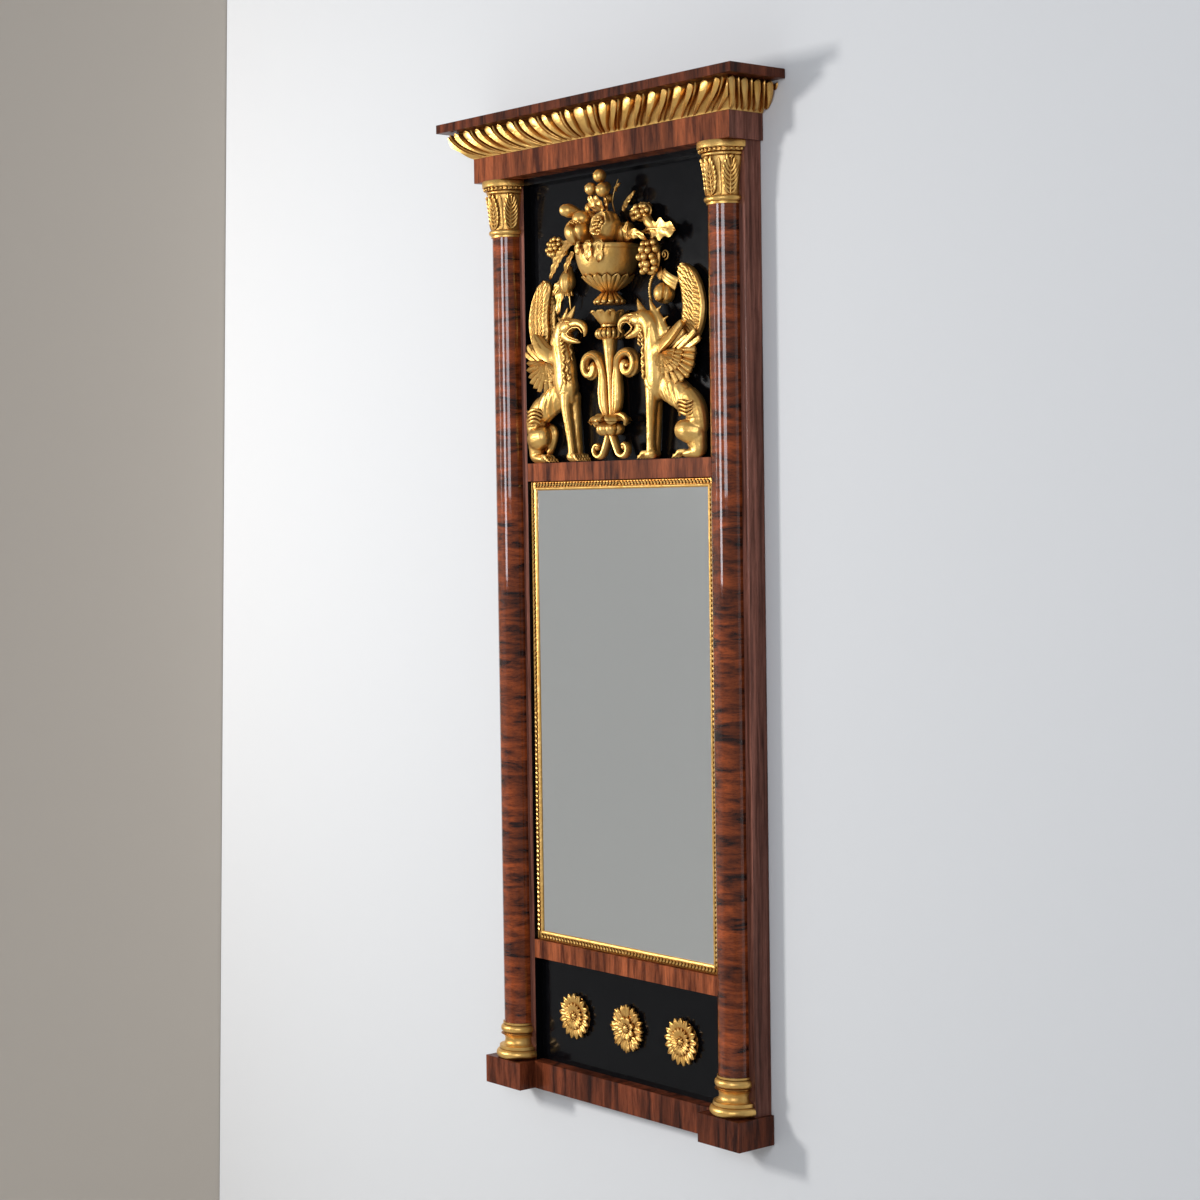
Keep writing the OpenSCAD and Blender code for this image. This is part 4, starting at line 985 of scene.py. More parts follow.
class PIER_OT_griffins(PierOperator):
    """Carve the two seated griffins."""
    bl_idname = "pier_mirror.griffins"
    bl_label = "Griffins"

    # Fineness of the fused skin, in millimetres
    VOXEL = 1.5
    # Stations are [across, out, up, half width, half depth], for the right-hand beast
    LIMBS = (
        # breast and neck
        [(118, 23, 112, 16, 13), (122, 24, 130, 25, 18), (125.5, 25, 151, 26, 19), (125.5, 26, 171, 26, 19),
         (127, 28, 191, 24, 19), (126, 30, 211, 20, 18), (122, 33, 229, 18, 17), (113, 36, 242, 15.5, 15),
         (102, 38, 246, 13, 13)],
        # belly, haunch and hind leg, and the far hind leg
        [(120, 20, 140, 26, 17), (148, 18, 126, 28, 16), (176, 17, 111, 27, 17), (203, 17, 93, 24, 17)],
        [(202, 18, 104, 20, 16), (214, 18, 88, 23, 18), (220, 18, 72, 23, 18), (222, 16, 52, 21, 15)],
        [(222, 19, 44, 21, 17), (208, 23, 46, 23, 19), (193, 25, 48, 19, 16)],
        [(218, 18, 42, 22, 16), (221, 17, 26, 19, 14), (223, 16, 13, 13, 13), (208, 18, 9, 9, 13),
         (196, 20, 7.5, 7, 11)],
        [(206, 7, 60, 14, 8), (186, 7, 58, 12, 8), (184, 7, 42, 9, 7), (196, 7, 20, 8, 7)],
        # near and far foreleg, and their feet
        [(118, 29, 122, 14, 13), (117, 30, 98, 10, 11), (112.5, 28, 62, 8, 9), (109, 26, 32, 7, 8.5),
         (108, 25, 12, 8, 9)],
        [(112, 15, 118, 13, 12), (112, 13, 92, 10, 10), (109, 12, 52, 8, 9), (106, 11, 14, 7, 8)],
        [(111, 25, 10, 9.5, 10), (102, 25, 8, 7.5, 10)],
        [(106, 10, 9, 8, 8), (99, 10, 6.5, 6, 8)],
        # skull, upper beak with its hooked tip, and lower beak
        [(112, 36, 239, 16, 14), (100, 39, 242, 15, 13.5), (88, 41, 243.5, 12.5, 11.5)],
        [(94, 41, 243, 13, 12), (78, 41, 246.5, 8.8, 9), (64, 41, 246, 7.2, 7.8), (53, 41, 241, 6.4, 6.8),
         (48, 41, 233, 4.8, 5.2), (49, 41, 226, 3, 3.4), (52.5, 41, 221.5, 1, 1.6)],
        [(104, 38, 226, 14, 12.5), (91, 40, 219.5, 8.4, 9), (80, 41, 216, 5.2, 6.5), (70, 41, 213.6, 3.4, 4.8),
         (63, 41, 212.4, 1.4, 2.4)],
        # smooth shoulder over the wing's root
        [(112, 27, 172, 12, 12), (126, 30, 181, 17, 14), (142, 32, 189, 17, 13), (157, 32, 195, 12, 9)],
        # ear
        [(104, 36, 252, 10, 6), (97, 35, 261, 7.5, 5), (91, 34, 270, 4.6, 3.4), (86, 33, 279, 1.2, 1.2)],
    )
    CREST = [(113, 28, 277, 1.5, 2.2), (118, 28, 266, 4.5, 4), (127, 28, 250, 10, 6), (138, 28, 234, 13, 7),
             (150, 28, 214, 14, 8)]
    # Root and tip of each point of the crest
    SPIKES = (((126, 28, 252), (142, 28, 262)), ((140, 28, 234), (159.5, 28, 244)),
              ((150, 28, 216), (164, 27, 226)))
    # The fan of the wing, [across, up]
    SHOULDER = (158, 183)
    FLIGHT_TIPS = ((231, 184), (230, 171), (226, 158), (220.5, 147), (212, 138), (198, 131), (180, 127),
                   (161, 123), (142, 124), (124, 130), (108, 138))
    # Path, width and barb spacing of the arm's long feathers, each over the one before
    ARM_FEATHERS = (([(188, 28, 178), (212, 29, 190), (239, 26, 204)], 17, 4.4),
                    ([(182, 31, 182), (205, 31.5, 197), (230, 28, 217)], 17, 4.4),
                    ([(178, 33, 187), (194, 33.5, 197), (213, 30.5, 209)], 12, 3.8),
                    ([(168, 35, 189), (188, 35.5, 202), (205, 32, 217)], 13, 3.8))
    # The arm's feathers face a little upward, toward its upper edge
    ARM_FACING = (-0.3, 1, 0.4)

    def toes(self, bm, x, out, length, spread, count=4):
        """Knuckled toes, each ending in a claw."""
        for i in range(count):
            side = (i - (count - 1) / 2) * spread
            limb(bm, [(x + 7, out + side * 0.7, 12, 3.8, 2.9), (x - length * 0.3, out + side, 11, 4.2, 2.9),
                      (x - length * 0.6, out + side * 1.1, 6.6, 3, 2.4),
                      (x - length * 0.9, out + side * 1.15, 4.6, 3.6, 2.7)], 10, 4)
            limb(bm, [(x - length * 0.9, out + side * 1.15, 4, 1.9, 1.6),
                      (x - length * 1.18, out + side * 1.2, 1.3, 0.5, 0.5)], 8, 2)

    @staticmethod
    def relief(x, up, normals):
        """Ribs, crease, furrows and hollows cut in the fused body."""
        front = np.clip(normals[:, 1], 0, 1)
        ribs = 2.1 * np.cos(2 * np.pi * (0.93 * x + 0.36 * up) / 12) * bump_at(x, up, (166, 104), (20, 18))
        crease = -2 * np.exp(-((up - 65 - 0.1 * (x - 215)) / 2.2) ** 2) * bump_at(x, up, (205, 66), (22, 12))
        hole = -8 * bump_at(x, up, (197, 71.5), (6.5, 5))
        cheek = 1.3 * bump_at(x, up, (100, 236), (9, 8))
        breast = (-1.8 * np.exp(-((x - 108 - 0.5 * (150 - up)) / 2.4) ** 2)
                  * bump_at(x, up, (114, 142), (16, 22)))
        furrow = (-2.2 * np.exp(-((x - 128 - 0.3 * (up - 215)) / 2.2) ** 2)
                  * bump_at(x, up, (128, 214), (14, 24)))
        shin = -0.9 * np.exp(-((x - 113 - 0.1 * (up - 60)) / 1.6) ** 2) * bump_at(x, up, (113, 60), (10, 34))
        muscle = 1.4 * bump_at(x, up, (205, 48), (15, 13))
        return front * (ribs + crease + hole + cheek + breast + furrow + shin + muscle)

    def eye(self, bm):
        """An almond eye under a heavy brow."""
        ball(bm, (86.7, 49.5, 241), 3.6, 3, (1.25, 0.75, 0.85))
        for sign in (-1, 1):
            limb(bm, [(80.5, 50.5, 240.4 - sign * 0.3, 0.7, 0.8), (85, 52.4, 241 + sign * 3.3, 1.2, 1.2),
                      (90, 52.2, 241.4 + sign * 3.2, 1.2, 1.2), (94.5, 50, 241.6, 0.7, 0.8)], 8, 4)
        limb(bm, [(75, 48, 247, 1.2, 1.2), (83, 51, 250, 2.1, 2.1), (92, 51, 250.5, 2, 2.1),
                  (101, 48.5, 248, 1, 1)], 10, 4)
        # nostril and the rolled edges of the beak
        ball(bm, (63, 47.6, 246), 1.5, 2, (1.5, 0.7, 1))
        for edge in ([(53, 45, 229), (59, 47, 237), (69, 48, 239), (80, 49.5, 237), (89, 50, 230)],
                     [(65, 44.5, 216), (72, 46.8, 218.6), (80, 48.4, 221.4), (87, 49.6, 225), (90, 50, 230)]):
            limb(bm, [(*p, 1.3, 1.5) for p in edge], 8, 4)

    def skin(self, x, up):
        """How far out the neck and breast stand at a place."""
        rows = np.array(self.LIMBS[0])
        axis, base, wide, deep = (np.interp(up, rows[:, 2], rows[:, k]) for k in (0, 1, 3, 4))
        return base + deep * math.sqrt(max(1 - ((x - axis) / wide) ** 2, 0))

    def ruff(self, bm):
        """Wavy locks down the front of the neck, on the jaw and over the haunch."""
        dice = random.Random(7)
        for row in range(11):
            for column in range(2):
                up = 228 - 7.6 * row - 3.5 * column
                x = 104.5 + 6 * column + 1.2 * math.sin(row) - 0.02 * (228 - up)
                out = self.skin(x, up) + 0.3
                sway = dice.uniform(1.4, 2.6) * (1 if (row + column) % 2 else -1)
                limb(bm, [(x + 1, out - 1, up + 6, 1.6, 1.5), (x + sway, out + 1.2, up, 2.9, 2.5),
                          (x - sway, out + 1.2, up - 6, 2.5, 2.3),
                          (x + sway * 0.6, out - 0.6, up - 11, 0.8, 0.9)], 8, 4)
        for i in range(9):
            # tufts from behind the ear down the jaw
            x, up = 104 + 5 * math.sin(0.5 * i) + 0.4 * i, 250 - 6.2 * i
            out = 49.5 - 0.35 * i
            limb(bm, [(x - 3, out - 1, up + 3, 1.2, 1.2), (x, out + 0.4, up, 2.6, 2),
                      (x + 4, out - 0.6, up - 4.5, 0.8, 0.8)], 8, 3)
        for i in range(4):
            # S-shaped strands across the haunch
            up = 96 - 6.6 * i
            limb(bm, [(186 + 2 * i, 33, up - 3.4, 1.6, 1.6), (196 + i, 37.4, up + 1.6, 3.1, 2.9),
                      (207, 39.4, up + 0.4, 3.3, 3), (217, 38.6, up - 2.6, 3.2, 2.8),
                      (227, 35, up + 0.6, 1.4, 1.5)], 10, 6)

    def fan(self, bm):
        """Flight feathers and their coverts, spread round the shoulder."""
        cx, cz = self.SHOULDER
        tips = self.FLIGHT_TIPS
        between = [((a + c) / 2, (b + d) / 2) for (a, b), (c, d) in zip(tips, tips[1:])]
        # from the panel outward; reach and root are shares of the way from the shoulder to the ends
        for ends, reach, root, width, lift, barb in ((between, 0.92, 0.3, 13, -5.5, 4.4),
                                                     (tips, 1.0, 0.3, 12.6, 0.6, 4.4),
                                                     (between, 0.64, 0.14, 12, 5.6, 3.8),
                                                     (tips, 0.42, 0.05, 9.5, 9.4, 3.4)):
            for i, (x, z) in enumerate(ends):
                feather(bm, (cx + (x - cx) * root, 30 + lift, cz + (z - cz) * root),
                        (cx + (x - cx) * reach, 27 + lift + 1.4 * (i % 2), cz + (z - cz) * reach),
                        width, barb, 4.4, (0, 2.4, 0))

    def arm(self, bm):
        """The long feathers of the arm, with their lower edges lifted."""
        for path, width, barb in self.ARM_FEATHERS:
            blade(bm, path, width / 2, feather_shape, feather_relief(60, barb, 1.0, 3), self.ARM_FACING,
                  thick=5, steps=16, across=11)

        # the broad first feather runs out of the smooth shoulder, and is barbed only toward its tip
        def outline(s):
            return min(0.8 + 0.6 * s, 1) * math.sqrt(max(1 - max((s - 0.6) / 0.4, 0) ** 2, 0.002))

        def relief(s, u):
            barbs = 0.5 + 0.5 * math.cos(2 * math.pi * (84 * s / 4.6 - 1.3 * abs(u)))
            return 4.4 * (1 - u * u) ** 0.6 - 0.9 * ease(0.5, 0.7, s) * barbs
        blade(bm, [(140, 31, 185), (155, 39, 194), (176, 40, 208), (203, 34, 233)], 15, outline, relief,
              self.ARM_FACING, 8, 14, 15)

    def execute(self, context):
        for side, matrix in BEASTS:
            bm = bmesh.new()
            for path in self.LIMBS:
                limb(bm, path)
            limb(bm, self.CREST, 12)
            for root, tip in self.SPIKES:
                half_way = [(a + b) / 2 for a, b in zip(root, tip)]
                limb(bm, [(*root, 6, 4), (*half_way, 4, 3.4), (*tip, 1, 1.4)], 10, 3)
            cut(bm, (0, 0.2, 0), (0, -1, 0))
            fuse(bm, self.VOXEL, 3)
            press(bm, self.relief)
            self.toes(bm, 98, 25, 14, 5.4)
            self.toes(bm, 96, 10, 12, 4.6, 3)
            self.toes(bm, 190, 20, 18, 6)
            self.eye(bm)
            self.ruff(bm)
            self.fan(bm)
            self.arm(bm)
            cut_back(bm)
            cut(bm, (0, 0, 0.1), (0, 0, -1))
            gild(bm, "carved_griffin_" + side, "griffin_" + side, matrix, 60)
        return {"FINISHED"}


class PIER_OT_wings(PierOperator):
    """Carve the sickle-shaped wing tips, an outer and an inner one to each griffin."""
    bl_idname = "pier_mirror.wings"
    bl_label = "Wing tips"

    # [up, inner edge, outer edge]
    OUTER = ((198, 184, 218), (214, 187, 229), (228, 185, 235.5), (244, 184, 239.5), (258, 186, 240.5),
             (273, 185, 238.5), (287, 183, 234.5), (299, 180, 229.5), (313, 175.5, 220.5), (324, 176, 209.5),
             (330, 181, 199), (333, 187, 194))
    INNER = ((200, 175, 206), (232, 177, 206), (250, 176.5, 205), (266, 176.5, 204), (282, 176, 201),
             (298, 178, 197), (308, 181, 194), (313, 185, 190))

    @staticmethod
    def sickle(bm, edges, out, fall, thick, steps):
        """A wing tip between two edges; fall is how far its outer edge drops to the panel."""
        columns = 72
        rings = []
        for up, low, high in smooth_path(edges, steps):
            ring = []
            for k in range(columns + 1):
                share = k / columns
                x = low + (high - low) * share
                # small feathers lie slanting to the upper left, in loose overlapping rows
                q = (0.7 * x + 0.71 * up) / 6.6 + 0.3 * math.sin(x / 5.5) + 0.24 * math.sin(up / 9)
                along = ((-0.71 * x + 0.7 * up) / 19 + 0.618 * math.floor(q)) % 1
                spread = (2 * (q % 1) - 1) / (1 - 0.9 * along ** 3)
                rows = 2.2 * math.sqrt(max(1 - spread * spread, 0)) + 2.2 * along
                rim = ease(0.84, 0.9, share)
                edge = min(8 * share, 1)
                crown = 3.4 * math.sqrt(max(1 - (2 * share - 1) ** 2, 0)) - fall * share ** 1.6
                rolled = 1.4 + 2.4 * math.sin(math.pi * ease(0.84, 1.0, share))
                ring.append(Vector((x, out + crown + rows * (1 - rim) * edge + rim * rolled, up)))
            ring += [Vector((x, out - thick - fall * bend, up)) for x, bend in
                     ((high - 1, 1), ((low + high) / 2, 0.4), (low + 1, 0))]
            rings.append(ring)
        loft(bm, rings)

    def execute(self, context):
        for side, matrix in BEASTS:
            bm = bmesh.new()
            self.sickle(bm, self.OUTER, 17.5, 3, 5, 16)
            self.sickle(bm, self.INNER, 5.5, 2, 4, 14)
            gild(bm, "carved_wing_" + side, "wings_" + side, matrix, 40)
        return {"FINISHED"}


class PIER_OT_candelabrum(PierOperator):
    """Carve the candelabrum: feet, collar, leaf stalks, stem and leafy cup."""
    bl_idname = "pier_mirror.candelabrum"
    bl_label = "Candelabrum"

    # How far the middle of the stem stands out of the panel, in millimetres
    AXIS = 24

    def around(self, angle, r, up):
        """A place round the stem, at an angle from straight out."""
        a = math.radians(angle)
        return Vector((r * math.sin(a), self.AXIS + r * math.cos(a), up))

    def curl(self, x, up, a0, a1, r0, r1, n, w0, w1, deep=9):
        """Stations round a volute."""
        made = []
        for i in range(n + 1):
            s = i / n
            a, r = math.radians(a0 + (a1 - a0) * s), r0 + (r1 - r0) * s
            made.append((x + r * math.cos(a), self.AXIS, up + r * math.sin(a),
                         w0 + (w1 - w0) * s, deep - 2 * s))
        return made

    @staticmethod
    def piece(bm, name, node_name):
        cut_back(bm)
        gild(bm, name, node_name, CARVING, 45)

    def turned_on_axis(self, bm, profile):
        turned(bm, profile, (0, self.AXIS, 0), 0, 360, 64)

    def feet(self):
        bm = bmesh.new()
        path = [(4, self.AXIS, 50, 6, 9), (8, self.AXIS, 38, 6, 9),
                *self.curl(35, 22, 205, 470, 17, 5.5, 14, 5.2, 3.4)]
        for sign in (1, -1):
            limb(bm, [(sign * x, *rest) for x, *rest in path], 16, 4,
                 shape=lambda s, a: 1 - 0.16 * math.exp(-(math.cos(a) / 0.3) ** 2))
            ball(bm, (sign * 36, self.AXIS, 23), 5.4, 3, (1, 1.35, 1))
        self.piece(bm, "scrolled_feet", "candelabrum_feet")

    def collar(self):
        bm = bmesh.new()
        self.turned_on_axis(bm, [(0, 44), (9, 44), (16, 48), (20, 56), (18, 64), (13, 68), (22, 73), (21, 78),
                                 (14, 80), (0, 80)])
        for angle in (-100, -50, 0, 50, 100):
            # bulb under a leaf whose tip curls over
            ball(bm, self.around(angle, 15, 56), 12.5, 3, (1, 1, 0.95))
            path = [self.around(angle, r, up) for r, up in ((10, 78), (22, 79), (33, 76), (38, 69), (34, 64))]
            blade(bm, path, 13, lambda s: math.sin(math.pi * (0.15 + 0.8 * s)) ** 0.6,
                  lambda s, u: 2.2 * (1 - u * u) - 1.3 * math.exp(-(u / 0.2) ** 2) + 0.5 * math.cos(9 * u),
                  facing=(0.01, 0.01, 1), thick=2.5, steps=5, across=13)
        for sign in (-1, 1):
            limb(bm, [(sign * 18, 26, 76, 9, 7), (sign * 32, 26, 77, 8, 7), (sign * 42, 26, 71, 5.5, 6),
                      (sign * 41, 26, 63, 3, 4)], 14, 5)
        self.piece(bm, "leaf_collar", "candelabrum_collar")

    def stalks(self):
        bm = bmesh.new()
        path = [(11, self.AXIS, 80, 6.5, 7), (17, self.AXIS, 96, 10.5, 10), (19.5, self.AXIS, 120, 11.5, 11),
                (19, self.AXIS, 145, 9.5, 10), (21, self.AXIS, 160, 7.5, 9),
                *self.curl(50, 167, 160, -190, 26, 8.5, 18, 7.6, 9.5, 13)]

        def grooved(s, a):
            # a gully up the leaf, then three ridges round the curl
            outward = max(math.sin(a), 0)
            gully = 0.24 * math.exp(-(math.cos(a) / 0.24) ** 2) * outward * (1 - ease(0.35, 0.5, s))
            return 1 - gully - 0.2 * ease(0.35, 0.5, s) * (0.5 - 0.5 * math.cos(6 * a))
        for sign in (1, -1):
            limb(bm, [(sign * x, *rest) for x, *rest in path], 32, 4, shape=grooved)
            ball(bm, (sign * 51, self.AXIS + 1, 166), 5.6, 3, (1, 1.5, 1))
        self.piece(bm, "leaf_stalks", "candelabrum_stalks")

    def stem(self):
        bm = bmesh.new()
        self.turned_on_axis(bm, [(0, 80), (3.5, 80), (5, 120), (6, 145), (8.2, 165), (10.4, 185), (12.2, 201),
                                 (13.8, 213), (14.6, 215.5), (18, 216), (18, 232), (12, 233), (16, 235),
                                 (0, 235)])
        for i in range(16):
            # gadrooned knop
            angle = 360 * i / 16
            path = [(*self.around(angle, r, up), w, w * 0.9) for r, up, w in
                    ((16, 216.8, 2.6), (21.6, 219.4, 3.9), (23.4, 225, 4.5), (20.5, 230.4, 3.6),
                     (15, 232.4, 2.4))]
            limb(bm, path, 10, 3, outward=self.around(angle, 1, 0) - self.around(angle, 0, 0))
        self.piece(bm, "turned_stem", "candelabrum_stem")

    def cup(self):
        bm = bmesh.new()
        self.turned_on_axis(bm, [(0, 235), (14, 235), (16, 236.5), (16, 239.5), (14, 241), (16, 244), (20, 251),
                                 (24, 258), (22, 259), (16, 256), (0, 255)])
        for i in range(10):
            angle = 36 * i + 18
            path = [self.around(angle, r, up) for r, up in
                    ((14, 240), (18.5, 245), (24, 252.5), (29.5, 259.5), (33.5, 263.5), (34.5, 261.5))]
            facing = self.around(angle, 1, 0) - self.around(angle, 0, 0) + Vector((0, 0, -0.4))
            blade(bm, path, 10.2, lambda s: (0.62 + 0.6 * s if s < 0.6 else 0.98 - 1.9 * (s - 0.6)) + 0.06,
                  lambda s, u: 1.6 * (1 - u * u) - 2.4 * math.exp(-(u / 0.25) ** 2 - ((s - 0.55) / 0.16) ** 2),
                  facing=facing, thick=2, steps=4, across=11)
        self.piece(bm, "leafy_cup", "candelabrum_cup")

    def execute(self, context):
        self.feet()
        self.collar()
        self.stalks()
        self.stem()
        self.cup()
        return {"FINISHED"}


class PIER_OT_tazza(PierOperator):
    """Carve the tazza: fluted foot, calyx of leaves and plain bowl."""
    bl_idname = "pier_mirror.tazza"
    bl_label = "Tazza"

    def execute(self, context):
        axis, low = 24, 275
        bm = bmesh.new()
        bowl = [(0, low + 14), (9, low + 14), (11, low + 20), (12.5, low + 24), (20, low + 29), (30, low + 37)]
        bowl += [(36 + 23.4 * math.sin(math.radians(90 * i / 14)) ** 0.8, low + 43 + 51 * (i / 14) ** 1.2)
                 for i in range(1, 15)]
        bowl += [(59.4, low + 95), (61.2, low + 96), (61.5, low + 98), (61.5, low + 102), (60.6, low + 103.6),
                 (58.4, low + 104), (56, low + 101.5), (54, low + 99), (0, low + 99)]
        turned(bm, bowl, (0, axis, 0), 0, 360, 96)

        def spot(ahead, r, up):
            return Vector((0, axis, low + up)) + ahead * r
        for i in range(16):
            # calyx leaves
            angle = math.radians(22.5 * i)
            ahead = Vector((math.sin(angle), math.cos(angle), 0))
            path = [spot(ahead, r, up) for r, up in ((10, 22), (18, 26), (30, 33), (41.5, 42), (49.5, 51))]
            blade(bm, path, 9.4, lambda s: (0.42 + 0.68 * s if s < 0.84 else 6.2 * (1.002 - s)) + 0.01,
                  lambda s, u: 1.5 * (1 - u * u) - 1.9 * math.exp(-(u / 0.24) ** 2),
                  facing=ahead + Vector((0, 0, -1)), thick=1.8, steps=5, across=11)
        for i in range(13):
            # flutes of the foot, with round scalloped ends
            angle = 2 * math.pi * i / 13
            ahead = Vector((math.sin(angle), math.cos(angle), 0))
            limb(bm, [(*spot(ahead, r, up), wide, thick) for r, up, wide, thick in
                      ((9, 23, 2.0, 2.6), (13, 18, 2.9, 3.4), (19.5, 11, 4.6, 4.2), (25.4, 5, 5.6, 4.4))],
                 14, 4, outward=ahead + Vector((0, 0, 0.8)))
        turned(bm, [(0, low + 1), (20, low + 1), (20, low + 5), (11, low + 17), (8, low + 24), (0, low + 24)],
               (0, axis, 0), 0, 360, 48)
        cut_back(bm)
        cut(bm, (0, 0, low), (0, 0, -1))
        gild(bm, "carved_tazza", "tazza", CARVING, 40)
        return {"FINISHED"}


class PIER_OT_fruit(PierOperator):
    """Carve the heap of fruit in the tazza, with its leaves."""
    bl_idname = "pier_mirror.fruit"
    bl_label = "Fruit"

    @staticmethod
    def cleft_fruit(bm, centre, radius, crease, stalk):
        """A round fruit with a cleft down one side and a hollow at the stalk."""
        crease, stalk = Vector(crease).normalized(), Vector(stalk).normalized()
        across = crease.cross(stalk).normalized()
        for vert in ball(bm, centre, radius, 5):
            d = (vert.co - Vector(centre)).normalized()
            groove = 0.2 * math.exp(-(d.dot(across) / 0.16) ** 2) * max(d.dot(crease), 0) ** 0.5
            hollow = 0.34 * math.exp(-((1 - d.dot(stalk)) / 0.09) ** 1.2)
            vert.co = Vector(centre) + d * radius * (1 - groove - hollow)

    @staticmethod
    def pomegranate(bm, centre, radius, opening):
        """A split pomegranate: ribbed rind with a rolled edge round the seeds."""
        opening, centre = Vector(opening).normalized(), Vector(centre)
        for vert in ball(bm, centre, radius, 5):
            d = (vert.co - centre).normalized()
            angle = math.acos(max(min(d.dot(opening), 1), -1))
            side = math.atan2(d.z - opening.z, d.x - opening.x)
            ribs = 0.03 * math.cos(5 * side) * math.sin(angle)
            # the opening is a torn oval under a thick fold of rind
            torn = 0.62 + 0.13 * math.cos(2 * side - 2.1) + 0.05 * math.cos(5 * side)
            rim = ((0.06 + 0.07 * math.exp(-((side - 1.4) / 0.8) ** 2))
                   * math.exp(-((angle - torn - 0.03) / 0.1) ** 2))
            fold = -0.1 * math.exp(-((angle - torn - 0.3) / 0.06) ** 2) * math.exp(-((side - 1.2) / 0.9) ** 2)
            inside = 0.28 * (1 - ease(torn - 0.16, torn, angle))
            vert.co = centre + d * radius * (1 + ribs + rim + fold - inside)
        up = Vector((0, 0, 1))
        side = opening.cross(up).normalized()
        up = side.cross(opening)
        dice = random.Random(11)
        for ring, count in ((0, 1), (0.27, 6), (0.5, 9)):
            for i in range(count):
                a = 2 * math.pi * (i + dice.uniform(-0.25, 0.25)) / count
                reach = ring * (1 + 0.2 * math.cos(2 * a - 2.1)) + dice.uniform(-0.03, 0.03)
                d = (opening + (-side * math.cos(a) + up * math.sin(a)) * reach).normalized()
                ball(bm, centre + d * radius * dice.uniform(0.8, 0.88), radius * dice.uniform(0.11, 0.15), 2)

    def execute(self, context):
        bm = bmesh.new()
        self.cleft_fruit(bm, (-38, 63, 405), 24.5, (0.6, 0.75, -0.35), (0.22, 0.71, 0.67))
        self.pomegranate(bm, (19, 46, 409), 28, (0.2, 0.96, 0.16))
        self.cleft_fruit(bm, (-24, 22, 400), 25, (0, 1, 0.3), (0, 0.4, 1))
        self.cleft_fruit(bm, (38, 18, 398), 21, (0.7, 0.7, 0), (0.3, 0.3, 1))
        # bursting crown of the fruit on the left, with its seeds
        ball(bm, (-31, 60, 427), 17, 4, (1.1, 0.95, 0.9))
        dice = random.Random(4)
        for i in range(9):
            place = (-46 + 4 * i, 80.5 - 0.16 * (i - 3) ** 2 + dice.uniform(-0.6, 0.6),
                     419.5 + dice.uniform(-1.8, 1.8))
            ball(bm, place, dice.uniform(1.9, 2.7), 2)
        # pear behind on the left, small round fruit on top
        limb(bm, [(-64, 70, 445, 11, 11), (-60, 66, 444, 12.4, 12.4), (-53, 58, 441, 10.5, 10.5),
                  (-46, 50, 437, 7, 7)], 24, 6)
        for x, out, up, radius in ((7, 49, 499, 12), (-11, 54, 478, 11.4), (21, 54, 473, 12.6),
                                   (8, 36, 480, 10), (4, 26, 462, 9)):
            ball(bm, (x, out, up), radius, 4)
            ball(bm, (x - 0.3 * radius, out + 0.86 * radius, up + 0.36 * radius), 1.5, 2)
        # leaf cup under the top fruit, and stems between
        leaf(bm, [(-2, 44, 438), (-10, 52, 452), (-17, 54, 468)], 20, 3, 0.25)
        leaf(bm, [(8, 44, 438), (6, 52, 452), (2, 58, 466)], 22, 3, 0.25)
        leaf(bm, [(14, 40, 438), (20, 46, 450), (24, 52, 462)], 14, 3, 0.25)
        leaf(bm, [(-8, 46, 430), (-12, 60, 438), (-10, 64, 452)], 15, 2, 0.2)
        for path in ([(24, 30, 436), (28, 38, 452), (33, 38, 470), (37, 32, 491)],
                     [(-24, 44, 424), (-22, 50, 436), (-28, 52, 449)]):
            limb(bm, [(*p, 1.3 - 0.2 * i, 1.3 - 0.2 * i) for i, p in enumerate(path)], 8, 5)
        leaf(bm, [(32, 18, 437), (46, 19, 452), (62, 14, 470)], 12, 4, 0.15)
        leaf(bm, [(31, 34, 470), (35, 34, 478), (42, 30, 484)], 8, 2, 0.2)
        leaf(bm, [(62, 34, 384), (64, 40, 400), (68, 36, 415)], 14, 3, 0.3)
        # vine leaves hanging over the rim
        for angle, low, width in ((74, 347, 19), (56, 343, 21), (96, 360, 15)):
            a = math.radians(angle)
            leaf(bm, [(r * math.cos(a), 24 + r * math.sin(a), up) for r, up in
                      ((52, 384), (63, 383), (66.5, 374), (66, low))], width, 4, 0.34,
                 (math.cos(a), math.sin(a), 0.3), full=1.9)
        gild(bm, "carved_fruit", "fruit", CARVING, 45)
        return {"FINISHED"}


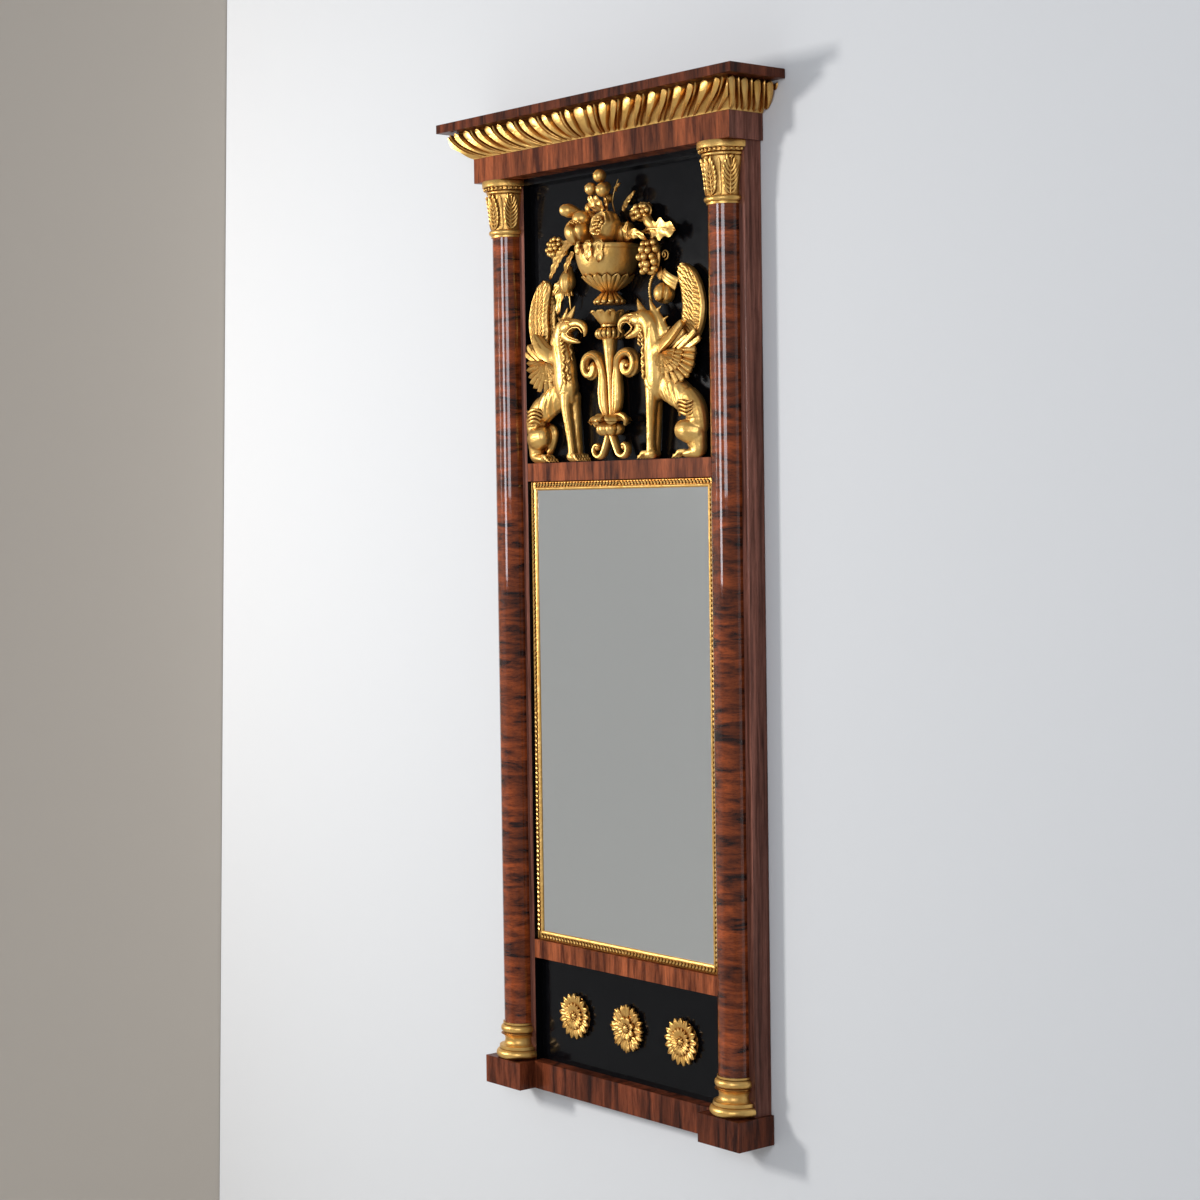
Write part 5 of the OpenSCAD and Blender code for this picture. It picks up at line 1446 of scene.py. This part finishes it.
class PIER_OT_grapes(PierOperator):
    """Carve the bunches of grapes with their leaves and tendrils."""
    bl_idname = "pier_mirror.grapes"
    bl_label = "Grapes"

    @staticmethod
    def bunch(bm, centre, half, radius, seed):
        """Grapes heaped in an oval of half width and half height, fullest in the middle."""
        dice = random.Random(seed)
        pitch = 1.84 * radius
        ball(bm, centre, 1, 3, (half[0], 0.8 * radius, half[1]))
        rows = int(half[1] / (0.87 * pitch)) + 1
        for row in range(-rows, rows + 1):
            for column in range(-7, 8):
                x, up = (column + 0.5 * (row % 2)) * pitch, row * 0.87 * pitch
                far = math.hypot(x / half[0], up / half[1])
                if far < dice.uniform(0.85, 1.15):
                    place = (x, 1.9 * radius * (1 - far * far) + dice.uniform(0, 0.5) * radius, up)
                    ball(bm, [a + b + dice.uniform(-0.32, 0.32) * radius for a, b in zip(centre, place)],
                         radius * dice.uniform(0.86, 1.06), 3)

    @staticmethod
    def tendril(bm, x, out, up, size):
        """A curling shoot, tighter toward its end."""
        path = []
        for i in range(14):
            a, r = math.radians(-100 + 40 * i), size * (1 - 0.055 * i)
            path.append((x + r * math.cos(a), out + 0.3 * i, up + r * math.sin(a), 1.3, 1.3))
        limb(bm, path, 8, 3)

    def execute(self, context):
        bm = bmesh.new()
        self.bunch(bm, (-147, 23, 386), (25, 20), 5.4, 3)
        leaf(bm, [(-34, 76, 386), (-66, 62, 387), (-98, 46, 381), (-132, 32, 368)], 20, 5, 0.25)
        leaf(bm, [(-92, 46, 379), (-124, 38, 368), (-148, 30, 352), (-170, 22, 333)], 22, 5, 0.25)
        leaf(bm, [(-78, 40, 374), (-98, 34, 363), (-116, 28, 349), (-128, 20, 334)], 15, 4, 0.25)
        limb(bm, [(-50, 50, 386, 2.4, 2.4), (-82, 44, 390, 2.2, 2.2), (-112, 34, 396, 2, 2)], 10, 5)
        cut_back(bm)
        gild(bm, "grape_bunch_left", "grapes_left", CARVING, 45)
        bm = bmesh.new()
        self.bunch(bm, (108, 20, 350), (25, 31), 7, 5)
        leaf(bm, [(58, 34, 384), (80, 40, 391), (100, 40, 389), (114, 34, 378)], 18, 3, 0.2)
        # oak-like leaf on its stalk, and the rolled leaf over it
        leaf(bm, [(92, 22, 395), (118, 27, 396), (146, 28, 394), (174, 21, 391)], 40, 4, 0.36, full=1.5)
        limb(bm, [(70, 18, 388, 3, 3), (92, 23, 395, 2.6, 2.6), (120, 29, 397, 2, 2), (160, 27, 393, 1, 1)],
             10, 5)
        limb(bm, [(94, 16, 426, 5, 5), (104, 23, 415, 9, 8), (116, 25, 405, 8.5, 7.5), (130, 21, 393, 3.5, 4)],
             18, 5, shape=lambda s, a: 1 - 0.14 * math.exp(-(math.cos(a) / 0.3) ** 2))
        limb(bm, [(108, 14, 392, 4.5, 4), (114, 15, 378, 5.5, 4), (121, 13, 362, 2.5, 2.5)], 12, 5)
        self.tendril(bm, 141, 15, 352, 9)
        cut_back(bm)
        gild(bm, "grape_bunch_right", "grapes_right", CARVING, 45)
        bm = bmesh.new()
        self.bunch(bm, (83, 16, 431), (25, 17), 5.6, 9)
        leaf(bm, [(46, 14, 428), (66, 12, 434), (88, 12, 440), (102, 10, 440)], 24, 3, 0.3)
        cut_back(bm)
        gild(bm, "grape_bunch_upper", "grapes_upper", CARVING, 45)
        return {"FINISHED"}


class PIER_OT_garlands(PierOperator):
    """Carve the hanging gourd and pomegranate with their leaves."""
    bl_idname = "pier_mirror.garlands"
    bl_label = "Hanging fruit"

    def execute(self, context):
        bm = bmesh.new()
        # ribbed gourd with its stalk
        limb(bm, [(-124, 15, 305, 6, 6), (-126, 17, 314, 13.5, 13), (-126, 17, 328, 15.5, 14.5),
                  (-124, 16, 340, 11.5, 11), (-121, 15, 350, 5, 5)], 40, 6,
             shape=lambda s, a: 1 + 0.1 * abs(math.cos(4 * a)) - 0.07)
        limb(bm, [(-121, 15, 348, 3, 3), (-116, 19, 362, 2.4, 2.4), (-102, 25, 376, 2.6, 2.6)], 10, 5)
        leaf(bm, [(-146, 8, 332), (-160, 14, 319), (-176, 11, 303)], 16, 3, 0.25)
        leaf(bm, [(-143, 8, 320), (-150, 16, 301), (-159, 13, 268)], 25, 3, 0.3)
        for i in range(5):
            a = math.radians(72 * i)
            limb(bm, [(-124 + 5 * math.cos(a), 15 + 5 * math.sin(a), 307, 2.2, 1.6),
                      (-124 + 7 * math.cos(a), 15 + 7 * math.sin(a), 301, 1, 0.8)], 8, 3)
        limb(bm, [(-124, 15, 304, 1.8, 1.8), (-123, 14, 290, 1.5, 1.5), (-124, 12, 277, 1.2, 1.2)], 8, 4)
        cut_back(bm)
        gild(bm, "gourd_garland", "garland_left", CARVING, 45)
        bm = bmesh.new()
        PIER_OT_fruit.cleft_fruit(bm, (140, 18, 285), 19, (0.7, 0.7, -0.2), (0.1, 0.3, -1))
        # square-tipped husk over the fruit
        blade(bm, [(134, 14, 322), (144, 22, 316), (158, 23, 307), (173, 18, 298)], 11.5,
              lambda s: 0.72 + 0.28 * s, lambda s, u: 2.4 * (1 - u * u) + 0.5 * math.cos(8 * u),
              across=13)
        blade(bm, [(120, 10, 332), (127, 17, 322), (134, 20, 310)], 8,
              lambda s: math.sin(math.pi * (0.1 + 0.8 * s)), lambda s, u: 1.5 * (1 - u * u), thick=2, steps=5)
        stalk = smooth_path([(118, 14, 328), (106, 14, 317), (98, 13, 305), (95, 12, 291), (98, 12, 277)], 4)
        for i, point in enumerate(stalk):
            # knotty stalk beside the fruit
            ball(bm, point, 3.4 - 0.6 * (i % 2), 2, (0.9, 1, 1.1))
        cut_back(bm)
        gild(bm, "pomegranate_garland", "garland_right", CARVING, 45)
        return {"FINISHED"}


# -------------------------------------------------------------------- stage

class PIER_OT_stage(PierOperator):
    """Set up the room, the lamps and the camera."""
    bl_idname = "pier_mirror.stage"
    bl_label = "Room, lamps and camera"

    # Part of the wall that the case hides, [x, z] of its lowest and highest corners in metres
    HIDDEN_WALL = ((-0.31, 0.03), (0.31, 1.68))
    # Rays that hit the wall within this length started on the back of the case, in metres
    HAIR = 0.006
    # Lean of the side walls in the photograph, in degrees
    LEAN = 2.9
    # Place, aim, and width and height in metres, power in watts, and colour
    LAMPS = {
        "key_lamp": ((-2.1, -2.66, 1.43), (0, 0, 1.0), (0.4, 0.6), 72, "#fffcf9"),
        "fill_lamp": ((2.2, -4.2, 1.9), (0, 0, 0.95), (1.6, 1.6), 62, "#f5f7ff"),
        "window_pane": ((-0.275, -3.24, 1.485), (0, 0, 1.485), (0.8, 1.25), 36, "#f5f7ff"),
    }
    AIR_COLOUR, AIR_STRENGTH = "#e8ebee", 0.34
    # Place in metres, azimuth, elevation and roll in degrees, and lens and sensor in millimetres
    CAMERA_PLACE = (3.29647, -2.81575, 1.08393)
    CAMERA_TURN = (50.268, 2.2078, -0.8048)
    LENS, SENSOR = 72.764, 36

    def plaster(self, name, hex_colour):
        """Painted plaster, seen from inside the room only, so that other views look past it."""
        material, tree, shader = new_material(name)
        place = node(tree, "ShaderNodeTexCoord").outputs["Object"]
        roller = node(tree, "ShaderNodeTexNoise", inputs={"Vector": place, "Scale": grain(6), "Detail": 4})
        bump = node(tree, "ShaderNodeBump", inputs={"Strength": 0.05, "Distance": 0.001,
                                                    "Height": roller.outputs["Fac"]})
        tree.links.new(bump.outputs[0], shader.inputs["Normal"])
        shader.inputs["Base Color"].default_value = linear(hex_colour)
        shader.inputs["Roughness"].default_value = 0.85
        clear = node(tree, "ShaderNodeBsdfTransparent")
        ray = node(tree, "ShaderNodeLightPath")
        # rays from the back of the case, a hair off the wall, go through to the daylight behind it
        close = node(tree, "ShaderNodeMath", {"operation": "LESS_THAN"},
                     {0: ray.outputs["Ray Length"], 1: self.HAIR})
        light = node(tree, "ShaderNodeMath", {"operation": "MAXIMUM"},
                     {0: ray.outputs["Is Shadow Ray"], 1: close.outputs[0]})
        past = node(tree, "ShaderNodeMath", {"operation": "MAXIMUM"},
                    {0: node(tree, "ShaderNodeNewGeometry").outputs["Backfacing"], 1: light.outputs[0]})
        both = node(tree, "ShaderNodeMixShader", inputs={0: past.outputs[0], 1: shader.outputs[0],
                                                         2: clear.outputs[0]})
        tree.links.new(both.outputs[0], tree.nodes["Material Output"].inputs["Surface"])
        return material

    def sheet(self, name, matrix, hex_colour, hatch=None):
        """A flat sheet; hatch is the [x, z] of an opening's lowest and highest corners."""
        bm = bmesh.new()
        bmesh.ops.create_grid(bm, x_segments=1, y_segments=1, size=0.5, matrix=matrix)
        if hatch:
            for x, z in hatch:
                for normal in ((1, 0, 0), (0, 0, 1)):
                    bmesh.ops.bisect_plane(bm, geom=[*bm.verts, *bm.edges, *bm.faces], dist=0.0001,
                                           plane_co=(x, 0, z), plane_no=normal)
            (left, low), (right, high) = hatch
            middles = [(face, face.calc_center_median()) for face in bm.faces]
            bmesh.ops.delete(bm, context="FACES", geom=[
                face for face, at in middles if left < at.x < right and low < at.z < high])
        mesh = bpy.data.meshes.new(name)
        bm.to_mesh(mesh)
        bm.free()
        mesh.materials.append(self.plaster(name + "_paint", hex_colour))
        piece = bpy.data.objects.new(name, mesh)
        bpy.context.scene.collection.objects.link(piece)

    def room(self):
        """The wall that the mirror hangs on, the walls at its left and the floor."""
        turn = math.pi / 2
        # the wall is open where the case hides it, so that the boards of the back get some light
        self.sheet("room_wall", Matrix.Translation((2.2, 0.0015, 1.2)) @ Matrix.Rotation(turn, 4, "X")
                   @ Matrix.Diagonal((7.6, 4, 1, 1)), "#dcdee0", self.HIDDEN_WALL)
        lean = Matrix.Rotation(math.radians(self.LEAN), 4, "Y") @ Matrix.Rotation(turn, 4, "Y")
        self.sheet("room_return", Matrix.Translation((-1.415, -0.35, 0.8)) @ lean
                   @ Matrix.Diagonal((5, 0.703, 1, 1)), "#c6beb3")
        self.sheet("room_side", Matrix.Translation((-1.415, -2.85, 0.8)) @ lean
                   @ Matrix.Diagonal((5, 4.3, 1, 1)), "#e4e5e3")
        self.sheet("room_floor", Matrix.Translation((2.2, -2.5, -0.8)) @ Matrix.Diagonal((7.6, 5.003, 1, 1)),
                   "#d0d0ce")

    @staticmethod
    def lamp(name, place, aim, size, power, colour):
        """A soft rectangular lamp."""
        light = bpy.data.lights.new(name, "AREA")
        light.shape, light.size, light.size_y = "RECTANGLE", *size
        light.energy, light.color = power, linear(colour)[:3]
        lamp = bpy.data.objects.new(name, light)
        lamp.location = place
        lamp.rotation_mode = "QUATERNION"
        lamp.rotation_quaternion = (Vector(aim) - Vector(place)).to_track_quat("-Z", "Y")
        bpy.context.scene.collection.objects.link(lamp)

    def camera(self, scene):
        """The photograph's camera."""
        camera = bpy.data.cameras.new("photo_camera")
        camera.lens, camera.sensor_width = self.LENS, self.SENSOR
        seat = bpy.data.objects.new("photo_camera", camera)
        azimuth, elevation, roll = (math.radians(v) for v in self.CAMERA_TURN)
        back = Vector((math.sin(azimuth) * math.cos(elevation), -math.cos(azimuth) * math.cos(elevation),
                       math.sin(elevation)))
        right = (-back).cross(Vector((0, 0, 1))).normalized()
        up = right.cross(-back)
        basis = Matrix((math.cos(roll) * right + math.sin(roll) * up,
                        -math.sin(roll) * right + math.cos(roll) * up, back))
        seat.matrix_world = Matrix.Translation(self.CAMERA_PLACE) @ basis.transposed().to_4x4()
        scene.collection.objects.link(seat)
        scene.camera = seat

    def execute(self, context):
        scene = context.scene
        self.room()
        world = bpy.data.worlds.new("room_air")
        world.use_nodes = True
        world.node_tree.nodes["Background"].inputs[0].default_value = linear(self.AIR_COLOUR)
        world.node_tree.nodes["Background"].inputs[1].default_value = self.AIR_STRENGTH
        scene.world = world
        for name, facts in self.LAMPS.items():
            self.lamp(name, *facts)
        # only the polished columns mirror the window pane
        columns = bpy.data.collections.new("polished_columns")
        for side, _ in SIDES:
            columns.objects.link(bpy.data.objects["column_shaft_" + side])
        bpy.data.objects["window_pane"].light_linking.receiver_collection = columns
        self.camera(scene)
        scene.view_settings.view_transform = "Standard"
        return {"FINISHED"}


class PIER_PT_panel(bpy.types.Panel):
    """Lists the pieces, sizes and finishes."""
    bl_idname = "PIER_PT_panel"
    bl_label = "Pier Mirror"
    bl_space_type = "VIEW_3D"
    bl_region_type = "UI"
    bl_category = "Pier Mirror"

    def draw(self, context):
        for operator in OPERATORS:
            self.layout.operator(operator.bl_idname)
        for group in (context.scene.pier_mirror_sizes, context.scene.pier_mirror_finishes):
            for name in group.__annotations__:
                self.layout.prop(group, name)


OPERATORS = (PIER_OT_case, PIER_OT_shafts, PIER_OT_bases, PIER_OT_capitals, PIER_OT_gadroons, PIER_OT_plate,
             PIER_OT_sight_moulding, PIER_OT_rosettes, PIER_OT_griffins, PIER_OT_wings, PIER_OT_candelabrum,
             PIER_OT_tazza, PIER_OT_fruit, PIER_OT_grapes, PIER_OT_garlands, PIER_OT_stage)
CLASSES = (PierMirrorFinishes, PierMirrorSizes, *OPERATORS, PIER_PT_panel)


def register():
    for cls in CLASSES:
        bpy.utils.register_class(cls)
    bpy.types.Scene.pier_mirror_finishes = PointerProperty(type=PierMirrorFinishes)
    bpy.types.Scene.pier_mirror_sizes = PointerProperty(type=PierMirrorSizes)


def unregister():
    del bpy.types.Scene.pier_mirror_sizes
    del bpy.types.Scene.pier_mirror_finishes
    for cls in reversed(CLASSES):
        bpy.utils.unregister_class(cls)


def main():
    register()
    for operator in OPERATORS:
        group, name = operator.bl_idname.split(".")
        getattr(getattr(bpy.ops, group), name)()


if __name__ == "__main__":
    main()
